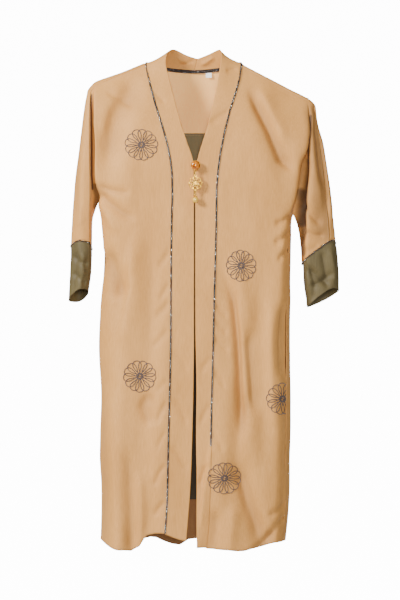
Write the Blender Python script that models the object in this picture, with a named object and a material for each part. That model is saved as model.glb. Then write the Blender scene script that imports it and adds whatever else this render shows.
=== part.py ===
"""Abaya cloak, hanging hollow, with loose sleeves, olive cuffs and a hanging clasp.

Metres, +Z up. +X is to the viewer's right and -Y is the front. The origin is in the
middle of the neck, between front and back, level with the back neck seam.
Tables are in millimetres: x across, y in depth, z in height. Left is the viewer's left.
"""
import math

import bmesh
import bpy
import numpy as np
from mathutils import Vector

MM = 0.001

# Driving dimensions, in millimetres
SEAM_GAP = 0.36
BAND_SEAM_GAP = 0.6
CORNER_GAPS = (1.2, 1.0, 0.6)
TRIM_CLEARANCE = 0.9
WALL_BODY = 1.2
WALL_BAND = 1.5
WALL_CUFF = 1.2
WALL_PANEL = 1.0
TRIM_WIDTH = 3.2
TRIM_HEIGHT = 1.3
NECK_TAPE_WIDTH = 7.0
NECK_TAPE_HEIGHT = 1.0
SHOULDER_SEAM_Z = 6.0
HEM_Z = -902.0
HAND_Y = -53.8
LABEL_SIZE = (11.5, 1.0, 10.0)
LABEL_CENTRE = (26.5, 22.4, -14.0)
PANEL_HALF_WIDTH = 74.0
PANEL_TOP_Z, PANEL_BOTTOM_Z = -124.0, -830.0
PANEL_SEATING, PANEL_CLEARANCE = 0.4, 2.6
TAPE_CLEARANCE = 0.9
CUFF_TRIM_HALF_WIDTH, CUFF_TRIM_HEIGHT, CUFF_TRIM_CLEARANCE = 1.1, 0.9, 0.7

# How far the middle of the front stands forward: z, depth
FRONT_DEPTH = [
    (6, 7), (-10, 14), (-45, 25), (-95, 35), (-140, 41), (-188, 43.5), (-253, 42.5),
    (-300, 44), (-345, 47), (-440, 53), (-540, 58), (-640, 62), (-735, 66), (-830, 69), (-902, 71),
]
# Seams between the fronts and the band, seen from the front: z, x
TRIM_LEFT = [
    (6, -94), (-25, -88), (-77, -74), (-111, -63), (-159, -50), (-200, -44), (-235, -43),
    (-305, -45), (-395, -45.5), (-480, -46), (-590, -47), (-650, -49), (-750, -51.5),
    (-830, -53), (-902, -57),
]
TRIM_RIGHT = [
    (6, 88.5), (-14, 86.5), (-50, 79), (-85, 66), (-138, 54.5), (-171, 47), (-196, 43),
    (-235, 41.5), (-330, 40), (-430, 37), (-507, 35.5), (-595, 33), (-674, 31), (-735, 30),
    (-830, 27), (-902, 22),
]
# Front edges of the band: z, x, depth ahead of the neck's middle
EDGE_LEFT = [
    (6, -56, 19), (-45, -43, 27), (-100, -29, 37), (-150, -13, 43), (-182, -1.6, 44),
    (-253, -1.6, 42.5), (-345, -1.3, 47), (-503, -1.5, 56), (-612, -2.7, 61), (-714, -5.4, 65),
    (-783, -7.5, 67), (-852, -13, 70), (-902, -18, 72),
]
EDGE_RIGHT = [
    (6, 48.5, 19), (-45, 40, 27), (-100, 27.5, 37), (-150, 14, 43), (-182, 0.4, 44),
    (-253, 0.2, 42.5), (-345, 0.2, 47), (-503, 0.6, 56), (-612, 3.2, 61), (-714, 2.0, 65),
    (-783, 3.5, 67), (-852, 2.8, 70), (-902, 3.3, 72),
]
# The band round the neck, from the shoulder to the centre back: seam, then free edge
NECK_LEFT = [
    ((-94, -7, 6), (-56, -19, 6)),
    ((-93, 0, 9.5), (-54, -13, 24)),
    ((-84, 9, 7), (-50, -5, 33)),
    ((-62, 18, 0), (-40, 4, 37)),
    ((-33, 24, -4), (-18, 15, 26)),
    ((-1, 26, -6), (4.5, 20, 19)),
]
NECK_RIGHT = [
    ((88.5, -7, 6), (48.5, -19, 6)),
    ((87.5, 0, 9.5), (50, -12, 24)),
    ((79, 9, 7), (50, -4, 33)),
    ((58, 18, 0), (46, 4, 36.5)),
    ((30, 24, -4), (26, 15, 27)),
    ((-1, 26, -6), (4.5, 20, 19)),
]

# Two places across a front, between trim and flank: share of the way, share of the trim's depth
FRONT_SHARES = ((0.40, 0.99), (0.76, 0.92))
# The place between the back's neck and side: share of the side's x, share of the centre's depth
BACK_MIDDLE = (0.79, 0.95)
# Sections of the shoulders and loose sleeves, from the shoulder seam down to the underarm.
# fall is 0 at the seam and 1 at the underarm. flap is the edge of the front that hangs over
# the sleeve, valley the deep fold behind it, crest the sleeve's front, seam the overarm seam.
UNDERARM_Z = {"left": -250.0, "right": -278.0}
CORNER_Z = {
    "left": {"flap": -33, "valley": -38, "crest": -42, "seam": -46},
    "right": {"flap": -58, "valley": -62, "crest": -66, "seam": -70},
}
# fall, flap x y, valley x y, crest x y, seam x y
FRONT_SECTIONS = {
    "left": [
        (0.00, -190, -7.0, -194, -7.5, -196.5, -7.75, -199, -8.0),
        (0.10, -192.5, -20, -190, -13, -196.5, -16, -200.5, -18),
        (0.30, -193, -28, -182, -10, -197, -16, -202, -24),
        (0.60, -193, -34, -178, -9, -197, -16, -202, -27),
        (0.82, -192.5, -35, -177, -7, -196, -16, -201, -28),
        (1.00, -181.5, -17, -181, -0.9, -193, -14, -201, -28),
    ],
    "right": [
        (0.00, 211, -7.0, 216, -7.5, 221, -7.75, 226, -8.0),
        (0.10, 216, -16, 218.5, -14, 224, -16, 230, -11),
        (0.30, 217, -25, 212, -8, 226, -22, 236, -12),
        (0.60, 209, -34, 204, -5, 225, -27, 246, -13),
        (0.82, 201, -35, 197, -4, 220, -29, 250, -15),
        (1.00, 180, -33, 187, -0.9, 216, -28, 254, -16),
    ],
}
# Sections of the back's shoulders and sleeves: fall, over x y (between seam and outer edge),
# outer x y, heel x y, valley x y, flap x y
BACK_SECTIONS = {
    "left": [
        (0.10, -207, -15, -210, 0, -205, 12, -192, 10, -191, 18),
        (0.30, -211, -20, -216, -2, -208, 18, -188, 7, -192, 25),
        (0.60, -214, -26, -224, -2, -212, 24, -185, 5, -191, 31),
        (0.82, -216, -29, -231, -2, -214, 28, -183, 4, -188, 34),
        (1.00, -217, -30, -234, -2, -215, 29, -181, 0.9, -170, 36),
    ],
    "right": [
        (0.10, 232, -7, 233, 0, 226, 12, 218, 11, 214, 17),
        (0.30, 239, -7, 240, 0, 228, 18, 212, 8, 214, 25),
        (0.60, 249, -8, 250, 0, 230, 24, 204, 5, 208, 31),
        (0.82, 254.5, -9, 257, 0, 232, 26, 197, 4, 200, 34),
        (1.00, 259, -9, 261.5, 0, 233, 27, 187, 0.9, 176, 37),
    ],
}
# The shoulder's rounded top on the back piece: over, outer, heel, valley, flap, each x y z
SHOULDER_TOP = {
    "left": [(-206, -10.5, -51), (-206, -3, -45), (-202, 2, -38), (-196, 2, -31), (-190, 1, -26)],
    "right": [(232.5, -7, -75), (232, -1, -69), (228, 2, -63), (220, 2, -57), (212, 1, -53)],
}
# Sections of the sleeves below the underarm, down to the cuff seam and the cuff's rim.
# under is the underarm seam; each point is x y z: under, crest, seam, over, outer, heel
SLEEVE_SECTIONS = {
    "left": [
        ((-190, 3, -265), (-197, -13, -264), (-201.5, -27, -264),
         (-218, -30, -264), (-235.5, -2, -266), (-217, 29, -266)),
        ((-199.5, 8, -292), (-198, -9, -292), (-201.8, -25, -290),
         (-219, -30, -290), (-237, -2, -292), (-218, 28, -293)),
        ((-200, 9, -320), (-198, -9, -320), (-201.8, -24, -314),
         (-219, -29, -312), (-239, -2, -318), (-219, 27, -320)),
        ((-199.5, 10, -348), (-198.5, -8, -347), (-202, -23, -336),
         (-219, -28, -331), (-240, -2, -342), (-220, 26, -345)),
    ],
    "right": [
        ((196, 3, -295), (215, -27, -290), (256, -16, -287),
         (261, -9, -287), (263, 0, -288), (235, 27, -291)),
        ((201.5, 4, -318), (214.5, -26, -308), (257, -16, -300),
         (263, -9, -299), (266, 0, -302), (237, 26, -308)),
        ((204.5, 5, -346), (214, -23, -334), (258, -15, -315),
         (265, -9, -314), (268, 0, -319), (239, 25, -331)),
        ((206, 4, -377), (217, -21, -362), (258, -15, -332),
         (265, -9, -330), (270, 0, -337), (240, 24, -355)),
    ],
}
CUFF_SECTIONS = {
    "left": [
        ((-201, 10, -388), (-199.5, -8, -388), (-203, -22, -382),
         (-221, -28, -378), (-242, -2, -388), (-222, 26, -390)),
        ((-206, 9, -434), (-205, -7, -428), (-209, -19, -424),
         (-224, -27, -424), (-245, -2, -447), (-224, 25, -450)),
    ],
    "right": [
        ((208, 4, -408), (219, -20, -400), (256, -17, -378),
         (268, -10, -374), (274, 0, -378), (244, 24, -392)),
        ((214, 2, -461), (228, -17, -446), (245, -20, -433),
         (264, -12, -422), (277, 0, -426), (251, 22, -445)),
    ],
}
# Sections of the body below the underarm:
# z, front flank x y, side seam x y, back flank x y, back side x y
BODY_SECTIONS = {
    "left": [
        (-275, -180, -14, -178, 7, -175, 20, -164, 38),
        (-350, -173, -14, -171.5, 9, -169, 22, -158, 42),
        (-440, -180, -14, -178, 8, -175, 24, -163, 46),
        (-540, -184, -14, -182, 8, -178, 26, -165, 50),
        (-640, -178.5, -14, -176.5, 8, -173, 28, -160, 53),
        (-735, -182, -14, -180, 8, -176, 30, -163, 56),
        (-830, -179, -14, -177, 8, -173, 30, -160, 58),
        (-902, -180, -13, -178, 8, -174, 30, -160, 58),
    ],
    "right": [
        (-305, 171, -38, 182, -16, 184.5, 0, 173, 38),
        (-350, 166, -41, 178, -27, 184, -4, 173, 42),
        (-440, 162, -44, 175, -29, 182.5, -5, 172, 45),
        (-540, 161, -48, 174, -31, 184, -5, 172, 48),
        (-640, 160, -51, 174, -32, 186, -5, 173, 51),
        (-735, 158, -54, 172.5, -33, 184, -5, 171, 54),
        (-830, 157, -56, 172, -33, 182, -5, 169, 56),
        (-902, 154, -56, 166, -36, 176, -5, 164, 56),
    ],
}
# How far the hem falls or rises at the trim, two points across the front, and the flank
HEM_WAVE = {"left": (12, 9, -8, 0), "right": (-7, -9, -6, 0)}
HEM_SWELL = {"left": (0, 9, -9, 0), "right": (4, -6, -4, 0)}

# Depth of the back: z, depth at the centre
BACK_DEPTH = [
    (-6, 26), (-20, 28), (-60, 32), (-140, 38), (-250, 44), (-350, 50), (-500, 57),
    (-700, 62), (-902, 64),
]
# Depth of the back near the shoulders: fall, halfway out, then five places along the neck
BACK_SHOULDER_DEPTH = [
    (0.10, 13, 17, 19, 22, 26, 28),
    (0.30, 25, 29, 30, 32, 34, 35),
    (0.60, 34, 37, 38, 39, 40, 41),
    (0.82, 38, 41, 42, 42, 43, 43),
    (1.00, 41, 43, 44, 44, 45, 45),
]
BACK_COLUMNS = {"left": (-140, -94), "right": (140, 88.5)}
# Places along the back neck: how far the cloth has spread out lower down, and its first
# step below the neck seam (outwards, back, down)
NECK_SPREAD = (1.02, 0.92, 0.80, 0.62, 0.34)
NECK_STEP_DOWN = ((4, 6, -2.5), (3.5, 5, 1.5), (2.5, 4, 4), (1, 2, 5), (0, 1, 5.5))

# Rows and columns of points between the sections above
FALL_STEPS = (2, 2, 2, 2, 2)
BODY_STEPS = (1, 1, 2, 2, 2, 2, 3, 2)
SLEEVE_STEPS = (1, 1, 1, 1)
BACK_FALL_STEPS = (1, 1) + FALL_STEPS[1:]
NECK_STEPS = (2, 1, 1, 2, 2)
BACK_HALF_STEPS = (2, 1, 3, 3) + NECK_STEPS

# Largest folds: side, height outwards, half width, then x z down the fold
FOLDS = [
    ("front", -7, 15, [(-109, -13), (-140, -60), (-159, -100), (-167, -196)]),
    ("front", 4, 13, [(-88, -40), (-112, -110), (-128, -200), (-134, -260)]),
    ("front", -8, 15, [(-126, -345), (-130, -400), (-140, -450), (-149, -500)]),
    ("front", 6, 11, [(-116, -330), (-116, -410), (-124, -480), (-136, -560)]),
    ("front", 5, 20, [(-140, -600), (-146, -700), (-150, -800), (-150, -902)]),
    ("front", -6, 17, [(-104, -560), (-98, -650), (-92, -760), (-92, -860)]),
    ("front", 4, 14, [(-66, -520), (-66, -620), (-68, -720), (-70, -800)]),
    ("front", -6, 11, [(102, -42), (128, -90), (152, -150), (178, -200)]),
    ("front", 5, 14, [(88, -60), (112, -120), (138, -190), (160, -240)]),
    ("front", -7, 10, [(52, -370), (66, -445), (75, -507), (79, -590), (84, -700), (88, -780)]),
    ("front", 6, 14, [(76, -370), (90, -460), (98, -540), (102, -640), (106, -740)]),
    ("front", -5, 15, [(122, -440), (124, -520), (130, -620), (134, -700)]),
    ("front", -8, 17, [(84, -770), (98, -820), (112, -860), (120, -902)]),
    ("front", 5, 14, [(50, -700), (46, -770), (40, -840), (38, -902)]),
    ("back", -7, 17, [(-120, -40), (-132, -120), (-140, -200), (-140, -290)]),
    ("back", 6, 18, [(-78, -120), (-84, -300), (-92, -520), (-96, -740)]),
    ("back", -7, 17, [(-36, -300), (-42, -480), (-50, -680), (-56, -880)]),
    ("back", 5, 20, [(10, -240), (8, -460), (2, -700), (0, -902)]),
    ("back", -8, 18, [(62, -260), (66, -460), (72, -680), (78, -902)]),
    ("back", 6, 18, [(112, -180), (114, -380), (118, -600), (122, -840)]),
    ("back", -6, 15, [(122, -50), (138, -120), (150, -190), (158, -250)]),
]

# Clasp, in millimetres
BUTTON_X, BUTTON_Z = 1.2, -188.0
BUTTON_RADIUS, BUTTON_BACK_Y = 9.0, -45.6
SHANK_RADIUS, SHANK_LENGTH = 3.4, 5.6
BEZEL_DEPTH, BEZEL_LIP, BEZEL_FLOOR = 4.4, 1.1, 2.2
STONE_CLEARANCE = 0.3
LINK_X = 0.8
LINK_WIRE = 0.45
EYE_RADIUS, EYE_WIRE = 1.9, 0.55
UPPER_EYE_Z = -198.9
UPPER_RING_Z, UPPER_RING_RADIUS = -202.3, 3.1
PENDANT_Z, PENDANT_RADIUS = -222.0, 13.6
PENDANT_THICKNESS, PENDANT_EYE_OFFSET = 1.6, 16.2
LOWER_RING_Z, LOWER_RING_RADIUS = -241.3, 2.6
LOWER_EYE_Z, LOWER_EYE_RADIUS = -244.6, 1.8
PEARL_Z, PEARL_RADIUS = -253.6, 6.0

COLOURS = {
    "tan": ((0.62, 0.41, 0.235, 1), 0.55, 0.0),
    "olive": ((0.21, 0.17, 0.085, 1), 0.5, 0.0),
    "bead": ((0.05, 0.04, 0.03, 1), 0.35, 0.2),
    "white": ((0.85, 0.85, 0.83, 1), 0.7, 0.0),
    "gold": ((0.83, 0.60, 0.27, 1), 0.25, 1.0),
    "amber": ((0.60, 0.19, 0.02, 1), 0.08, 0.0),
    "pearl": ((0.86, 0.78, 0.60, 1), 0.25, 0.0),
}


def clear_scene():
    for item in list(bpy.data.objects):
        bpy.data.objects.remove(item, do_unlink=True)


def finish(item, colour):
    """Give an object its own material."""
    base, roughness, metallic = COLOURS[colour]
    material = bpy.data.materials.new(item.name + "_" + colour)
    material.use_nodes = True
    shader = material.node_tree.nodes["Principled BSDF"]
    shader.inputs["Base Color"].default_value = base
    shader.inputs["Roughness"].default_value = roughness
    shader.inputs["Metallic"].default_value = metallic
    item.data.materials.append(material)
    return item


def smooth(knots, values, at):
    """Smooth curve through table values, with no overshoot between the rows."""
    knots = np.asarray(knots, float)
    values = np.asarray(values, float)
    at = np.asarray(at, float)
    tail = (1,) * (values.ndim - 1)
    step = np.diff(knots).reshape(-1, *tail)
    rise = np.diff(values, axis=0) / step
    slope = np.zeros_like(values)
    slope[0], slope[-1] = rise[0], rise[-1]
    product = rise[:-1] * rise[1:]
    total = np.where(product > 0, rise[:-1] + rise[1:], 1.0)
    slope[1:-1] = np.where(product > 0, 2 * product / total, 0.0)
    row = np.clip(np.searchsorted(knots, at, side="right") - 1, 0, len(knots) - 2)
    width = step[row]
    t = ((at - knots[row]).reshape(-1, *tail)) / width
    start, end = values[row], values[row + 1]
    return (
        start * (1 + 2 * t) * (1 - t) ** 2
        + width * slope[row] * t * (1 - t) ** 2
        + end * t * t * (3 - 2 * t)
        + width * slope[row + 1] * t * t * (t - 1)
    )


def table_at(table, z):
    """Values of a table whose first column is z and runs downwards."""
    rows = np.asarray(table, float)[::-1]
    return smooth(rows[:, 0], rows[:, 1:], np.atleast_1d(z))


def surface(net, row_at, column_at):
    """Points of the smooth surface through a net of section points."""
    net = np.asarray(net, float)
    across = smooth(range(net.shape[1]), net.transpose(1, 0, 2), column_at)
    return smooth(range(net.shape[0]), across.transpose(1, 0, 2), row_at)


def spread(counts):
    """Positions that divide each interval of a table into its own number of steps."""
    places = [0.0]
    for start, count in enumerate(counts):
        places += [start + (step + 1) / count for step in range(count)]
    return np.array(places)


def fold_height(side, points):
    """How far the largest folds push points outwards."""
    total = np.zeros(points.shape[:-1])
    flat = points[..., [0, 2]]
    for where, height, half_width, path in FOLDS:
        if where != side:
            continue
        path = np.asarray(path, float)
        near = np.full(total.shape, 1e9)
        for a, b in zip(path[:-1], path[1:]):
            run = b - a
            t = np.clip(((flat - a) @ run) / (run @ run), 0, 1)
            away = np.linalg.norm(flat - a - t[..., None] * run, axis=-1)
            near = np.minimum(near, away)
        total += height * np.exp(-((near / half_width) ** 2))
    return total


def pull_edge(edge, inner, amount):
    """Move an edge's points towards the row inside it, by half a seam gap."""
    way = inner - edge
    size = np.linalg.norm(way, axis=-1, keepdims=True)
    return edge + way / np.maximum(size, 1e-9) * amount


class Sheet:
    """A cloth sheet woven from grids of points that share their common points."""

    def __init__(self):
        self.mesh = bmesh.new()
        self.corners = {}

    def corner(self, point):
        key = tuple(round(float(value), 3) for value in point)
        if key not in self.corners:
            self.corners[key] = self.mesh.verts.new([value * MM for value in point])
        return self.corners[key]

    def weave(self, grid, closed=False):
        rows = [[self.corner(point) for point in row] for row in grid]
        for upper, lower in zip(rows[:-1], rows[1:]):
            if closed:
                upper, lower = upper + upper[:1], lower + lower[:1]
            for k in range(len(upper) - 1):
                loop = [upper[k], lower[k], lower[k + 1], upper[k + 1]]
                kept = [v for i, v in enumerate(loop) if v is not loop[i - 1]]
                if len(kept) > 2:
                    self.mesh.faces.new(kept)

    def solid(self, name, wall, colour, outward):
        """Turn the sheet's faces outwards and thicken it on that side."""
        self.mesh.normal_update()
        lean = sum((face.normal.dot(outward(face.calc_center_median()))) for face in self.mesh.faces)
        if lean < 0:
            bmesh.ops.reverse_faces(self.mesh, faces=self.mesh.faces)
        data = bpy.data.meshes.new(name)
        self.mesh.to_mesh(data)
        self.mesh.free()
        item = bpy.data.objects.new(name, data)
        bpy.context.scene.collection.objects.link(item)
        data.shade_smooth()
        thicken = item.modifiers.new("Wall", "SOLIDIFY")
        thicken.thickness = wall * MM
        thicken.offset = 1
        thicken.use_even_offset = False
        thicken.use_quality_normals = True
        return finish(item, colour)


def facing(x, y, z):
    return lambda centre: Vector((x, y, z))


def away_from_neck(centre):
    return Vector((centre.x, centre.y, 0.005))


def away_from(axis_x):
    """Outward direction on a tube whose axis stands at axis_x, in millimetres."""
    return lambda centre: Vector((centre.x - axis_x * MM, centre.y, 0.0)).normalized()


def front_depth(z):
    return table_at(FRONT_DEPTH, z)[:, 0]


def trim_x(side, z):
    return table_at(TRIM_LEFT if side == "left" else TRIM_RIGHT, z)[:, 0]


def shoulder_z(side, x):
    """Height of the shoulder seam at x."""
    start = BACK_COLUMNS[side][1]
    end = FRONT_SECTIONS[side][0][1]
    t = (x - start) / (end - start)
    return SHOULDER_SEAM_Z + t * (CORNER_Z[side]["flap"] - SHOULDER_SEAM_Z)


def front_row(side, z_trim, flank, z_flank, edge, z_edge, mid_z=None):
    """One section of a front: trim, two points across, flank and side edge."""
    tx = trim_x(side, z_trim)[0]
    depth = front_depth(z_trim)[0]
    row = [(tx, -depth, z_trim)]
    for k, (share, fullness) in enumerate(FRONT_SHARES):
        fullness = 1.0 if z_trim == SHOULDER_SEAM_Z else fullness
        x = tx + share * (flank[0] - tx)
        z = mid_z[k] if mid_z else z_trim
        row.append((x, -depth * fullness, z))
    row.append((flank[0], flank[1], z_flank))
    row.append((edge[0], edge[1], z_edge))
    return row


def front_net(side):
    """Sections of a front from the shoulder seam to the hem."""
    under = UNDERARM_Z[side]
    corner = CORNER_Z[side]
    net = []
    for fall, fx, fy, vx, vy, *_ in FRONT_SECTIONS[side]:
        z_trim = SHOULDER_SEAM_Z + fall * (under - SHOULDER_SEAM_Z)
        tx = trim_x(side, z_trim)[0]
        mid_z = []
        for share, _ in FRONT_SHARES:
            top = shoulder_z(side, tx + share * (fx - tx))
            mid_z.append(top + fall * (under - top))
        z_flap = corner["flap"] + fall * (under - corner["flap"])
        z_valley = corner["valley"] + fall * (under - corner["valley"])
        net.append(front_row(side, z_trim, (fx, fy), z_flap, (vx, vy), z_valley, mid_z))
    for z, fx, fy, sx, sy, *_ in BODY_SECTIONS[side]:
        net.append(front_row(side, z, (fx, fy), z, (sx, sy), z))
    wave, swell = HEM_WAVE[side], HEM_SWELL[side]
    for k, (x, y, z) in enumerate(net[-1]):
        place = min(k, len(wave) - 1)
        net[-1][k] = (x, y + swell[place], z + wave[place])
    return np.array(net)


def sleeve_front_net(side):
    corner, under = CORNER_Z[side], UNDERARM_Z[side]
    net = []
    for fall, _, _, vx, vy, cx, cy, sx, sy in FRONT_SECTIONS[side]:
        row = []
        for key, x, y in (("valley", vx, vy), ("crest", cx, cy), ("seam", sx, sy)):
            row.append((x, y, corner[key] + fall * (under - corner[key])))
        net.append(row)
    for section in SLEEVE_SECTIONS[side]:
        net.append(list(section[:3]))
    return np.array(net)


def front_grids(side):
    """Points of a front's body and of its half sleeve, before its seams are parted."""
    upper = sum(FALL_STEPS) + 1
    body = surface(front_net(side), spread(FALL_STEPS + BODY_STEPS), spread((3, 3, 3, 3)))
    body[..., 1] -= fold_height("front", body) * np.clip((-body[..., 1] - 8) / 20, 0, 1)
    sleeve = surface(sleeve_front_net(side), spread(FALL_STEPS + SLEEVE_STEPS), spread((3, 3)))
    sleeve[:upper, 0] = body[:upper, -1]
    return body, sleeve


def add_front(side):
    """A front with its half sleeve."""
    upper = sum(FALL_STEPS) + 1
    half_gap = SEAM_GAP / 2
    body, sleeve = front_grids(side)
    body[0, :] = pull_edge(body[0], body[1], half_gap)
    sleeve[0, :] = pull_edge(sleeve[0], sleeve[1], half_gap)
    sleeve[0, 0] = body[0, -1]
    body[:, 0] = pull_edge(body[:, 0], body[:, 1], BAND_SEAM_GAP / 2)
    body[upper:, -1] = pull_edge(body[upper:, -1], body[upper:, -2], half_gap)
    sleeve[1:, -1] = pull_edge(sleeve[1:, -1], sleeve[1:, -2], half_gap)
    sleeve[upper:, 0] = pull_edge(sleeve[upper:, 0], sleeve[upper:, 1], half_gap)
    sleeve[-1, :] = pull_edge(sleeve[-1], sleeve[-2], half_gap)
    inwards = np.array([1 if side == "left" else -1, 0, 0])
    sleeve[:len(CORNER_GAPS), -1] += np.outer(CORNER_GAPS, inwards)
    sheet = Sheet()
    sheet.weave(body)
    sheet.weave(sleeve)
    return sheet.solid("front_" + side, WALL_BODY, "tan", facing(0, -1, 0))


def back_depth(z):
    return table_at(BACK_DEPTH, z)[:, 0]


def back_half(side):
    """Columns of the back from the side edge to the neck: each a list of points, top to hem."""
    under, corner = UNDERARM_Z[side], CORNER_Z[side]
    front = FRONT_SECTIONS[side]
    top = SHOULDER_TOP[side]
    sign = -1 if side == "left" else 1
    mid_x, neck_x = BACK_COLUMNS[side]
    flap_x, valley_x = front[0][1], front[0][3]
    edge = [(valley_x, -7.5, corner["valley"]), top[3]]
    flank = [((valley_x + flap_x) / 2, -7.25, (corner["valley"] + corner["flap"]) / 2),
             tuple((np.array(top[3]) + top[4]) / 2)]
    side_line = [(flap_x, -7, corner["flap"]), top[4]]
    mid = [(mid_x, -7, shoulder_z(side, mid_x)), (mid_x, 0.5, shoulder_z(side, mid_x) + 4)]
    neck = [[point[0]] for point in (NECK_LEFT if side == "left" else NECK_RIGHT)[:5]]
    for column, (out, back, down) in zip(neck, NECK_STEP_DOWN):
        x, y, z = column[0]
        column.append((x + sign * out, y + back, z - down))
    for section, depths in zip(BACK_SECTIONS[side], BACK_SHOULDER_DEPTH):
        fall, vx, vy, fx, fy = section[0], *section[7:]
        z_valley = corner["valley"] + fall * (under - corner["valley"])
        z_flap = corner["flap"] + fall * (under - corner["flap"])
        z_mid = shoulder_z(side, mid_x) + fall * (under - shoulder_z(side, mid_x))
        z_neck = SHOULDER_SEAM_Z + fall * (under - SHOULDER_SEAM_Z)
        edge.append((vx, vy, z_valley))
        flank.append(((vx + fx) / 2 + sign * 3 * fall, (vy + fy) / 2, (z_valley + z_flap) / 2))
        side_line.append((fx, fy, z_flap))
        mid.append((mid_x + (fx - flap_x) * 0.3, depths[1], z_mid))
        for column, share, depth in zip(neck, NECK_SPREAD, depths[2:]):
            column.append((neck_x * share, depth, z_neck))
    for z, fx, fy, sx, sy, bx, by, rx, ry in BODY_SECTIONS[side]:
        edge.append((sx, sy, z))
        flank.append((bx, by, z))
        side_line.append((rx, ry, z))
        mid.append((rx * BACK_MIDDLE[0], back_depth(z)[0] * BACK_MIDDLE[1], z))
        for column, share in zip(neck, NECK_SPREAD):
            column.append((neck_x * share, back_depth(z)[0], z))
    return [edge, flank, side_line, mid] + neck


def back_net():
    """Sections of the back from the shoulder seams and neck seam to the hem."""
    left, right = back_half("left"), back_half("right")
    x, y, z = NECK_LEFT[-1][0]
    centre = [(x, y, z), (x, y + 0.6, z - 6)]
    for row in range(2, len(left[0])):
        level = (left[8][row][2] + right[8][row][2]) / 2
        centre.append((x, (left[8][row][1] + right[8][row][1]) / 2 + 0.5, level))
    return np.array(left + [centre] + right[::-1]).transpose(1, 0, 2)


def sleeve_back_net(side):
    """Sections of a back sleeve half, from the overarm seam round to the underarm."""
    corner, under = CORNER_Z[side], UNDERARM_Z[side]
    front = FRONT_SECTIONS[side]
    seam_top, valley_top = front[0][7:9], front[0][3:5]
    start = np.array([seam_top[0], seam_top[1], corner["seam"]])
    end = np.array([valley_top[0], valley_top[1], corner["valley"]])
    rows = [[start + (end - start) * t for t in (0, 0.25, 0.5, 0.75, 1)]]
    second = np.array([front[1][7], front[1][8], corner["seam"] + 0.05 * (under - corner["seam"])])
    second[:2] = (start[:2] + second[:2]) / 2
    rows.append([second] + [np.array(point, float) for point in SHOULDER_TOP[side][:4]])
    for section, back in zip(front[1:], BACK_SECTIONS[side]):
        fall, ox, oy, ux, uy, hx, hy, vx, vy, _, _ = back
        z_seam = corner["seam"] + fall * (under - corner["seam"])
        z_valley = corner["valley"] + fall * (under - corner["valley"])
        z_outer = (z_seam + z_valley) / 2
        rows.append([
            (section[7], section[8], z_seam), (ox, oy, z_seam), (ux, uy, z_outer),
            (hx, hy, z_valley), (vx, vy, z_valley),
        ])
    for under_point, crest, seam, over, outer, heel in SLEEVE_SECTIONS[side]:
        rows.append([seam, over, outer, heel, under_point])
    return np.array([[tuple(point) for point in row] for row in rows])


def neck_seam(side):
    """The neck seam from the shoulder to the centre back, where the band joins the back."""
    table = np.array(NECK_LEFT if side == "left" else NECK_RIGHT, float)
    return smooth(range(len(table)), table, spread(NECK_STEPS))[:, 0]


def back_body():
    """Points of the back between its side edges, before its seams are parted."""
    columns = BACK_HALF_STEPS + BACK_HALF_STEPS[::-1]
    body = surface(back_net(), spread(BACK_FALL_STEPS + BODY_STEPS), spread(columns))
    first = sum(BACK_HALF_STEPS[:4])
    for side, shoulder in (("left", body[0, 3:first]), ("right", body[0, -first:-3])):
        shoulder[:, 2] = [shoulder_z(side, x) for x in shoulder[:, 0]]
    line = neck_seam("left")
    body[0, first:first + len(line)] = line
    line = neck_seam("right")
    body[0, -first - len(line):-first] = line[::-1]
    body[..., 1] += fold_height("back", body) * np.clip((body[..., 1] - 8) / 20, 0, 1)
    return body


def add_back():
    """The back with both back sleeve halves."""
    upper = sum(BACK_FALL_STEPS) + 1
    half_gap = SEAM_GAP / 2
    body = back_body()
    sleeves = {}
    for side, column in (("left", 0), ("right", -1)):
        front_body, front_sleeve = front_grids(side)
        body[upper:, column] = front_body[upper:, -1]
        sleeve = surface(sleeve_back_net(side), spread(BACK_FALL_STEPS + SLEEVE_STEPS),
                         spread((2, 2, 2, 2)))
        sleeve[:, 0] = front_sleeve[:, -1]
        sleeve[:upper, -1] = body[:upper, column]
        sleeve[upper:, -1] = front_sleeve[upper:, 0]
        sleeve[0, :] = pull_edge(sleeve[0], sleeve[1], half_gap)
        sleeves[side] = sleeve
    body[0, :] = pull_edge(body[0], body[1], half_gap)
    for side, column, inner in (("left", 0, 1), ("right", -1, -2)):
        sleeve = sleeves[side]
        sleeve[0, -1] = body[0, column]
        body[upper:, column] = pull_edge(body[upper:, column], body[upper:, inner], half_gap)
        sleeve[1:, 0] = pull_edge(sleeve[1:, 0], sleeve[1:, 1], half_gap)
        sleeve[upper:, -1] = pull_edge(sleeve[upper:, -1], sleeve[upper:, -2], half_gap)
        sleeve[-1, :] = pull_edge(sleeve[-1], sleeve[-2], half_gap)
        outwards = np.array([-1 if side == "left" else 1, 0.6, 0])
        sleeve[:len(CORNER_GAPS), 0] += np.outer(CORNER_GAPS, outwards)
        sleeve[0, 1:4] += outwards * CORNER_GAPS[0]
    sheet = Sheet()
    sheet.weave(sleeves["left"])
    sheet.weave(body)
    sheet.weave(sleeves["right"][:, ::-1])
    return sheet.solid("back", WALL_BODY, "tan", facing(0, 1, 0))


def band_lines(side):
    """Seam line and free edge of the band from the hem to the centre back."""
    edge_table = EDGE_LEFT if side == "left" else EDGE_RIGHT
    neck = NECK_LEFT if side == "left" else NECK_RIGHT
    seam = front_grids(side)[0][:0:-1, 0]
    levels = np.maximum(seam[:, 2], HEM_Z)
    edge_x, edge_y = table_at(edge_table, levels).T
    free = np.stack([edge_x, -edge_y, levels], axis=1)
    free[:, 1] -= fold_height("front", free)
    over = smooth(range(len(neck)), np.array(neck, float), spread(NECK_STEPS))
    return np.concatenate([seam, over[:, 0]]), np.concatenate([free, over[:, 1]])


def band_grid(side):
    seam, free = band_lines(side)
    return np.stack([seam + (free - seam) * t for t in (0, 0.35, 0.7, 1)], axis=1)


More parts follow.
